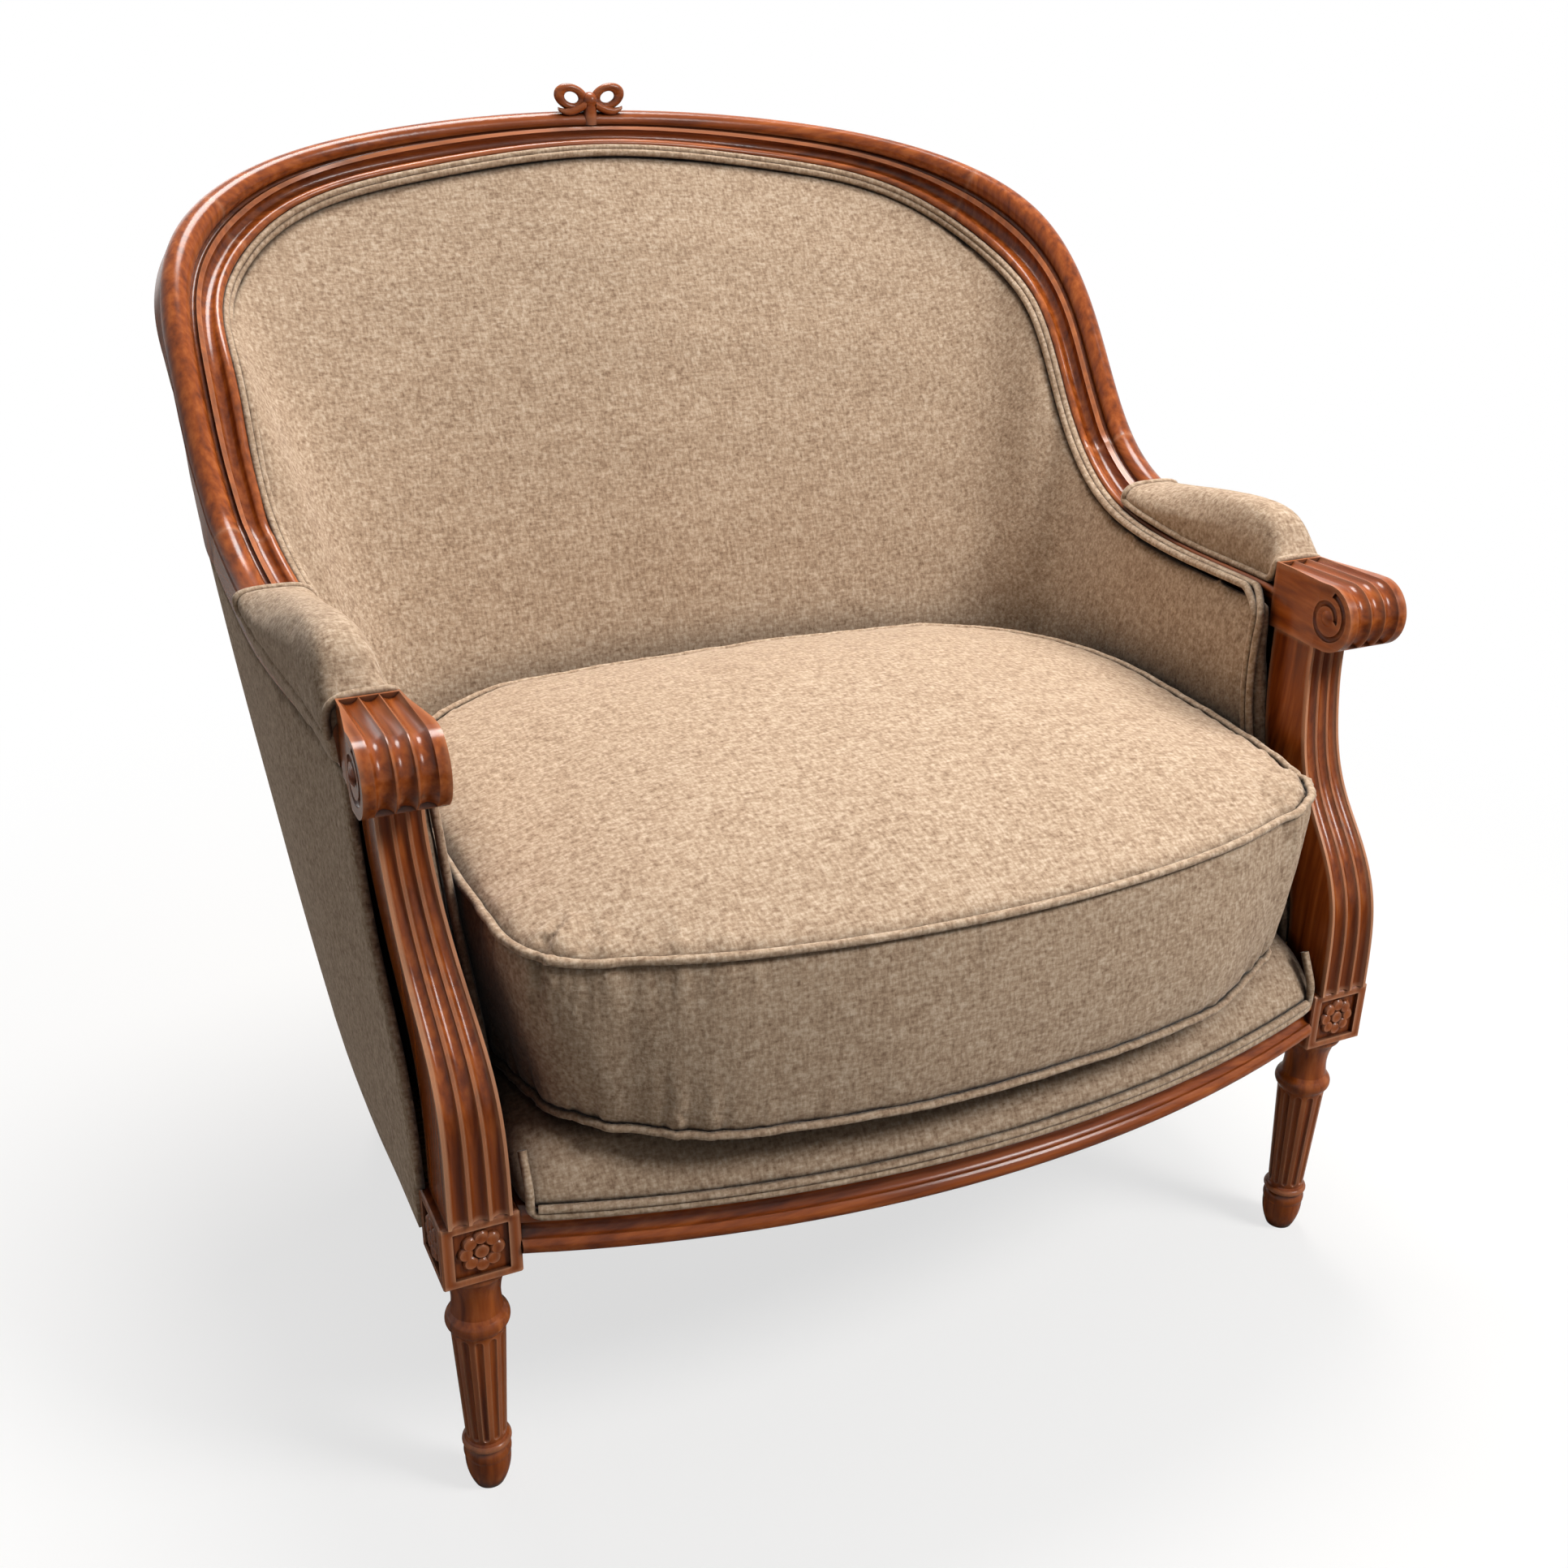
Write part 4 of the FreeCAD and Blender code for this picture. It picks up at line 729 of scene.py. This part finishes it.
class BERGERE_OT_outside(bpy.types.Operator):
    """Outside back and arm covers, lightly wadded and drawn over the seat rails"""

    bl_idname = "bergere.outside"
    bl_label = "Outside covers"

    def execute(self, context):
        chair = context.scene.bergere
        for node in OUTSIDE:
            bm = copied(node)
            for _ in range(6):
                long = [e for e in bm.edges if e.calc_length() > OUTSIDE_GRID]
                if not long:
                    break
                bmesh.ops.subdivide_edges(bm, edges=long, cuts=1)
                bmesh.ops.triangulate(bm, faces=bm.faces)
            bm.normal_update()
            rim = [v.co.copy() for v in bm.verts
                   if any(e.calc_face_angle(0.0) > RIM_FOLD for e in v.link_edges)]
            near = tree_of(rim)
            for v in bm.verts:
                gap = near.find(v.co)[2]
                out = Vector((v.co.x, v.co.y - SEAT_MIDDLE, 0)).normalized()
                if v.normal.dot(out) > 0.2:
                    v.co += v.normal * (WADDING * (1 - math.exp(-gap / WADDING_RISE)))
            cover = settle(node + "_cover", bm, chenille(chair), CHAIR, "upholstery", node)
        return {"FINISHED"}


class BERGERE_OT_arm_pads(bpy.types.Operator):
    """Full arm pads drawn over the outer side of the arms, with a welt round their edges"""

    bl_idname = "bergere.arm_pads"
    bl_label = "Arm pads"

    def rings(self):
        """Sections of the right pad from front to rear: its crown from inside to outside, then its skirt."""
        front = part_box("arm_pad_right")[0].y + FIRST_CUT
        rings = []
        for i in range(PAD_STEPS + 1):
            y = front + PAD_LENGTH * i / PAD_STEPS
            pad = section("arm_pad_right", y)
            foot = min(pad, key=lambda p: p.x + p.z)
            edge = max(p.x for p in pad) - RAIL_INSIDE
            rail = [p for p in section("arm_rail_right", y) if p.x > edge]
            wide = max(rail, key=lambda p: p.x + 0.5 * p.z) + Vector((PAD_OVER, 0, 0))
            # The filling rolls down to the wooden ledge at the front.
            back = share((y - front) / PAD_ROLL)
            rise = PAD_LEDGE + (PAD_FULL - PAD_LEDGE) * math.sqrt(1 - (1 - back) ** 2)
            crown = foot.z + rise * (max(p.z for p in pad) - foot.z)
            ring = []
            for k in range(PAD_STEPS + 1):
                across = -math.cos(math.pi * k / PAD_STEPS)
                p = foot.lerp(wide, 0.5 + 0.5 * across)
                low = foot.z if across < 0 else wide.z
                p.z = low + (crown - low) * max(0.0, 1 - abs(across) ** PAD_LEVEL) ** PAD_ROUND
                ring.append(p)
            for k in range(1, SKIRT_STEPS + 1):
                ring.append(wide - Vector((PAD_OVER, 0, PAD_SKIRT)) * (k / SKIRT_STEPS))
            rings.append(ring)
        return rings

    def execute(self, context):
        chair = context.scene.bergere
        rings = self.rings()
        skirt = PAD_STEPS + 1
        # The welt goes back along the inner edge, over the rear, forward on the skirt and across the front.
        loop = [ring[0] for ring in rings] + rings[-1][1:skirt]
        loop += [ring[skirt] for ring in rings[::-1]] + rings[0][skirt - 2:2:-3]
        for side in SIDES:
            turn = list if side == "right" else flipped
            bm = bmesh.new()
            for ring in rings:
                row = [bm.verts.new(p) for p in turn(ring)]
                for a, b in zip(row, row[1:] + row[:1]):
                    bm.edges.new((a, b))
            bmesh.ops.bridge_loops(bm, edges=bm.edges)
            bmesh.ops.holes_fill(bm, edges=[e for e in bm.edges if e.is_boundary])
            bmesh.ops.recalc_face_normals(bm, faces=bm.faces)
            bm = remeshed(bm, PAD_GRID, 4)
            for v in bm.verts:
                v.co += v.normal * PAD_SKIN
            # Only the top swells, and the underside is held.
            bm = puffed(bm, lambda co, normal: PAD_SWELL * max(0.0, normal.z),
                        lambda co, normal: 1.0 if normal.z < -0.3 else 0.0)
            cover = settle("arm_pad_cover_" + side, bm, chenille(chair), CHAIR, "upholstery",
                           "arm_pad_" + side)
            bm = welt_cords([turn(loop)], chair.welt, True)
            settle("arm_pad_cord_" + side, bm, chenille(chair), CHAIR, "welt", "arm_pad_welt_" + side)
        return {"FINISHED"}


class BERGERE_OT_platform(bpy.types.Operator):
    """Fixed seat platform with its padded border and double welt"""

    bl_idname = "bergere.platform"
    bl_label = "Seat platform"

    def execute(self, context):
        chair = context.scene.bergere
        low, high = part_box("platform_welt")
        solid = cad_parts["platform_welt"].data
        ends = [v.co for v in solid.vertices if v.co.x > high.x - HEM_END]
        corner = min(ends, key=lambda p: p.y)
        behind = bow(corner.x, corner.y - low.y)
        bm = remeshed(copied("seat_platform"), COVER_GRID, 5)
        for v in bm.verts:
            # The cushion's weight presses the border's upper edge back and down; the hem laps over the rail.
            up = share((v.co.z - low.z - BORDER_FOOT) / BORDER_RISE)
            back = v.co.y - low.y - behind(v.co.x)
            press = PRESS * (up * max(0.0, 1 - back / PRESS_BACK))
            lap = Vector((0, -AHEAD, -LAP)) * ((1 - up) * max(0.0, 1 - back / LAP_BACK))
            v.co += press + lap + v.normal * ripple(v.co, PLATFORM_WAVES)
        deck = settle("platform_cover", bm, chenille(chair), CHAIR, "upholstery", "seat_platform")

        def hem(z):
            """The lapped hem from left to right, at a height over the solid welt's foot."""
            places = [corner.x * (i / 20 - 1) for i in range(41)]
            return [Vector((x, low.y - AHEAD + behind(x), low.z + z - LAP)) for x in places]

        # At each end the lower cord turns up and leans back with the border.
        stand = []
        for i in range(8):
            z = END_TOP - (END_TOP + LAP - END_FOOT) * i / 7
            lean = END_LEAN * max(0.0, z - BORDER_FOOT) / BORDER_RISE
            x = corner.x + END_SHIFT[0]
            y = corner.y + END_SHIFT[1] - AHEAD + lean
            stand.append(Vector((x, y, low.z + z)))
        lower = flipped(stand) + hem(chair.welt) + stand[::-1]
        upper = hem((1 + HEM_PITCH) * chair.welt)
        bm = welt_cords([lower, upper], chair.welt)
        settle("platform_double_welt", bm, chenille(chair), CHAIR, "welt", "platform_welt")
        return {"FINISHED"}


class BERGERE_OT_cushion(bpy.types.Operator):
    """Loose seat cushion: boxed, crowned and filled, with a welt at each seam"""

    bl_idname = "bergere.cushion"
    bl_label = "Seat cushion"

    def execute(self, context):
        chair = context.scene.bergere
        low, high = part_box("cushion_cover")
        welt_low, welt_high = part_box("cushion_welts")
        upper = evened(max(creases("cushion_core", CREASE), key=length), SEAM_POINTS + 1)[:-1]
        lower = [Vector((p.x, p.y, welt_low.z + welt_high.z - p.z)) for p in upper]
        wide = BOW_AT * high.x
        sag = min(p.y for p in upper if abs(p.x - wide) < BOW_ROOM) - min(p.y for p in upper)
        behind = bow(wide, sag)

        def depth(co):
            """Share of the way down from the upper seam to the lower."""
            return share((upper[0].z - co.z) / (upper[0].z - lower[0].z))

        def rounded(co):
            """The front corners are drawn in to a wider round, most at the foot."""
            off = Vector((abs(co.x) - high.x + CORNER, low.y + behind(co.x) + CORNER - co.y))
            if min(off) <= 0:
                return co
            turn = off.normalized()
            edge = CORNER / max(turn)
            inset = CORNER - TURN
            if CORNER * min(turn) > inset * max(turn):
                lean = inset * (turn.x + turn.y)
                edge = lean + math.sqrt(max(0.0, lean ** 2 - 2 * inset ** 2 + TURN ** 2))
            pull = (edge - CORNER) * (DRAW_TOP + (DRAW_FOOT - DRAW_TOP) * depth(co))
            move = turn * (pull * min(1.0, off.length / edge) ** 2)
            return co + Vector((-math.copysign(move.x, co.x), move.y, 0))

        def sunk(co):
            """The front edge sinks and its foot hangs a little over the platform."""
            ahead = share(1 - (co.y - low.y - behind(co.x)) / SINK_BACK)
            return co + Vector((0, -FORWARD * depth(co), -SINK - (HANG - SINK) * depth(co))) * ahead

        bm = remeshed(copied("cushion_core"), COVER_GRID, 3)
        bm.normal_update()
        for v in bm.verts:
            v.co = sunk(rounded(v.co + v.normal * SKIN))
        seams = [[sunk(rounded(p)) for p in seam] for seam in (lower, upper)]
        near = tree_of(seams[0] + seams[1])
        bm.normal_update()
        before = [v.co.copy() for v in bm.verts]

        def most(co, normal):
            """The top swells most, and the front more than the other sides."""
            top = (chair.fullness - SIDE_SWELL) * max(0.0, normal.z)
            return SIDE_SWELL + top + FRONT_SWELL * max(0.0, -normal.y)

        def held(co, normal):
            """The seams and the underside are held."""
            return 1.0 if near.find(co)[2] < SEAM_HOLD or normal.z < -0.6 else 0.0

        bm = puffed(bm, most, held)
        for v in bm.verts:
            _, place, gap = near.find(v.co)
            # Folded noise along the seam gives round gathers with sharp valleys between them.
            aside = abs(v.co.x) - high.x + CORNER_IN
            inward = v.co.y - low.y - CORNER_BACK
            corner = math.exp(-(aside ** 2 + inward ** 2) / CORNER_REACH ** 2)
            gather = FOLD_GAIN * abs(noise.noise(Vector((place * FOLD_STEP, *FOLD_ROW)))) - FOLD_LEVEL
            gather *= gap / GATHER_OFF * math.exp(1 - gap / GATHER_OFF)
            pinch = PINCH * math.exp(-(gap / PINCH_REACH) ** 2)
            gathers = (GATHER + GATHER_CORNER * corner) * gather
            v.co += v.normal * (gathers + ripple(v.co, CUSHION_WAVES) - pinch)
        moves = [v.co - p for v, p in zip(bm.verts, before)]
        skin = tree_of(before)
        bmesh.ops.subdivide_edges(bm, edges=bm.edges, cuts=1, use_grid_fill=True, smooth=1.0)
        case = settle("cushion_case", bm, chenille(chair), CUSHION, "upholstery",
                      "cushion_cover", "cushion_core")

        paths = []
        for seam in seams:
            middle = sum(seam, Vector()) / len(seam)
            path = []
            for i, p in enumerate(seam):
                run = seam[(i + 1) % len(seam)] - seam[i - 1]
                out = Vector((run.y, -run.x, 0)).normalized()
                out = out if out.dot(p - middle) > 0 else -out
                path.append(p + out * (SKIN + CORD_OUT * chair.welt))
            paths.append(path)
        bm = welt_cords(paths, chair.welt, True)
        # The cords go where the case beside them went.
        for v in bm.verts:
            found = skin.find_n(v.co, 4)
            v.co += sum((moves[i] for _, i, _ in found), Vector()) / len(found)
        settle("cushion_cords", bm, chenille(chair), CUSHION, "welt", "cushion_welts")
        return {"FINISHED"}


class BERGERE_OT_stage(bpy.types.Operator):
    """Pale floor, soft light and the camera at the photograph's angle"""

    bl_idname = "bergere.stage"
    bl_label = "Stage"

    def execute(self, context):
        scene = context.scene
        scene.view_settings.view_transform = "Standard"
        bm = bmesh.new()
        bmesh.ops.create_circle(bm, cap_ends=True, segments=96, radius=FLOOR_RADIUS)
        mesh = bpy.data.meshes.new("floor")
        bm.to_mesh(mesh)
        bm.free()
        mesh.materials.append(pale_floor())
        floor = bpy.data.objects.new("floor", mesh)
        scene.collection.objects.link(floor)
        scene.world = studio_world()

        for name, place, size, power, tint, spread in LAMPS:
            lamp = bpy.data.lights.new(name, "AREA")
            lamp.shape = "DISK"
            lamp.size = size
            lamp.energy = power
            lamp.color = tint
            lamp.spread = math.radians(spread)
            holder = bpy.data.objects.new(name, lamp)
            scene.collection.objects.link(holder)
            holder.location = place
            holder.rotation_euler = (LIT_POINT - Vector(place)).to_track_quat("-Z", "Y").to_euler()

        lens = bpy.data.cameras.new("photo")
        lens.sensor_fit = "HORIZONTAL"
        lens.sensor_width = 36.0
        lens.lens = LENS
        lens.shift_x, lens.shift_y = SHIFT
        lens.clip_end = 50.0
        eye = bpy.data.objects.new("photo", lens)
        scene.collection.objects.link(eye)
        turn = (LOOK - EYE).to_track_quat("-Z", "Y") @ Quaternion((0, 0, 1), math.radians(ROLL))
        eye.matrix_world = Matrix.LocRotScale(EYE, turn, None)
        scene.camera = eye
        return {"FINISHED"}


PIECES = (BERGERE_OT_frame, BERGERE_OT_inside, BERGERE_OT_outside, BERGERE_OT_arm_pads,
          BERGERE_OT_platform, BERGERE_OT_cushion, BERGERE_OT_stage)


class BERGERE_PT_panel(bpy.types.Panel):
    """Settings and pieces of the bergere chair"""

    bl_idname = "BERGERE_PT_panel"
    bl_label = "Bergere chair"
    bl_space_type = "VIEW_3D"
    bl_region_type = "UI"
    bl_category = "Bergere"

    def draw(self, context):
        for name in ChairSettings.__annotations__:
            self.layout.prop(context.scene.bergere, name)
        for piece in PIECES:
            self.layout.operator(piece.bl_idname)


CLASSES = (ChairSettings,) + PIECES + (BERGERE_PT_panel,)


def register():
    """Register the settings, operators and panel."""
    for cls in CLASSES:
        bpy.utils.register_class(cls)
    bpy.types.Scene.bergere = PointerProperty(type=ChairSettings)


def unregister():
    """Take them away again."""
    del bpy.types.Scene.bergere
    for cls in reversed(CLASSES):
        bpy.utils.unregister_class(cls)


def main():
    """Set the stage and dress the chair."""
    register()
    bpy.ops.bergere.stage()
    bpy.ops.bergere.frame()
    bpy.ops.bergere.inside()
    bpy.ops.bergere.outside()
    bpy.ops.bergere.arm_pads()
    bpy.ops.bergere.platform()
    bpy.ops.bergere.cushion()


if __name__ == "__main__":
    main()
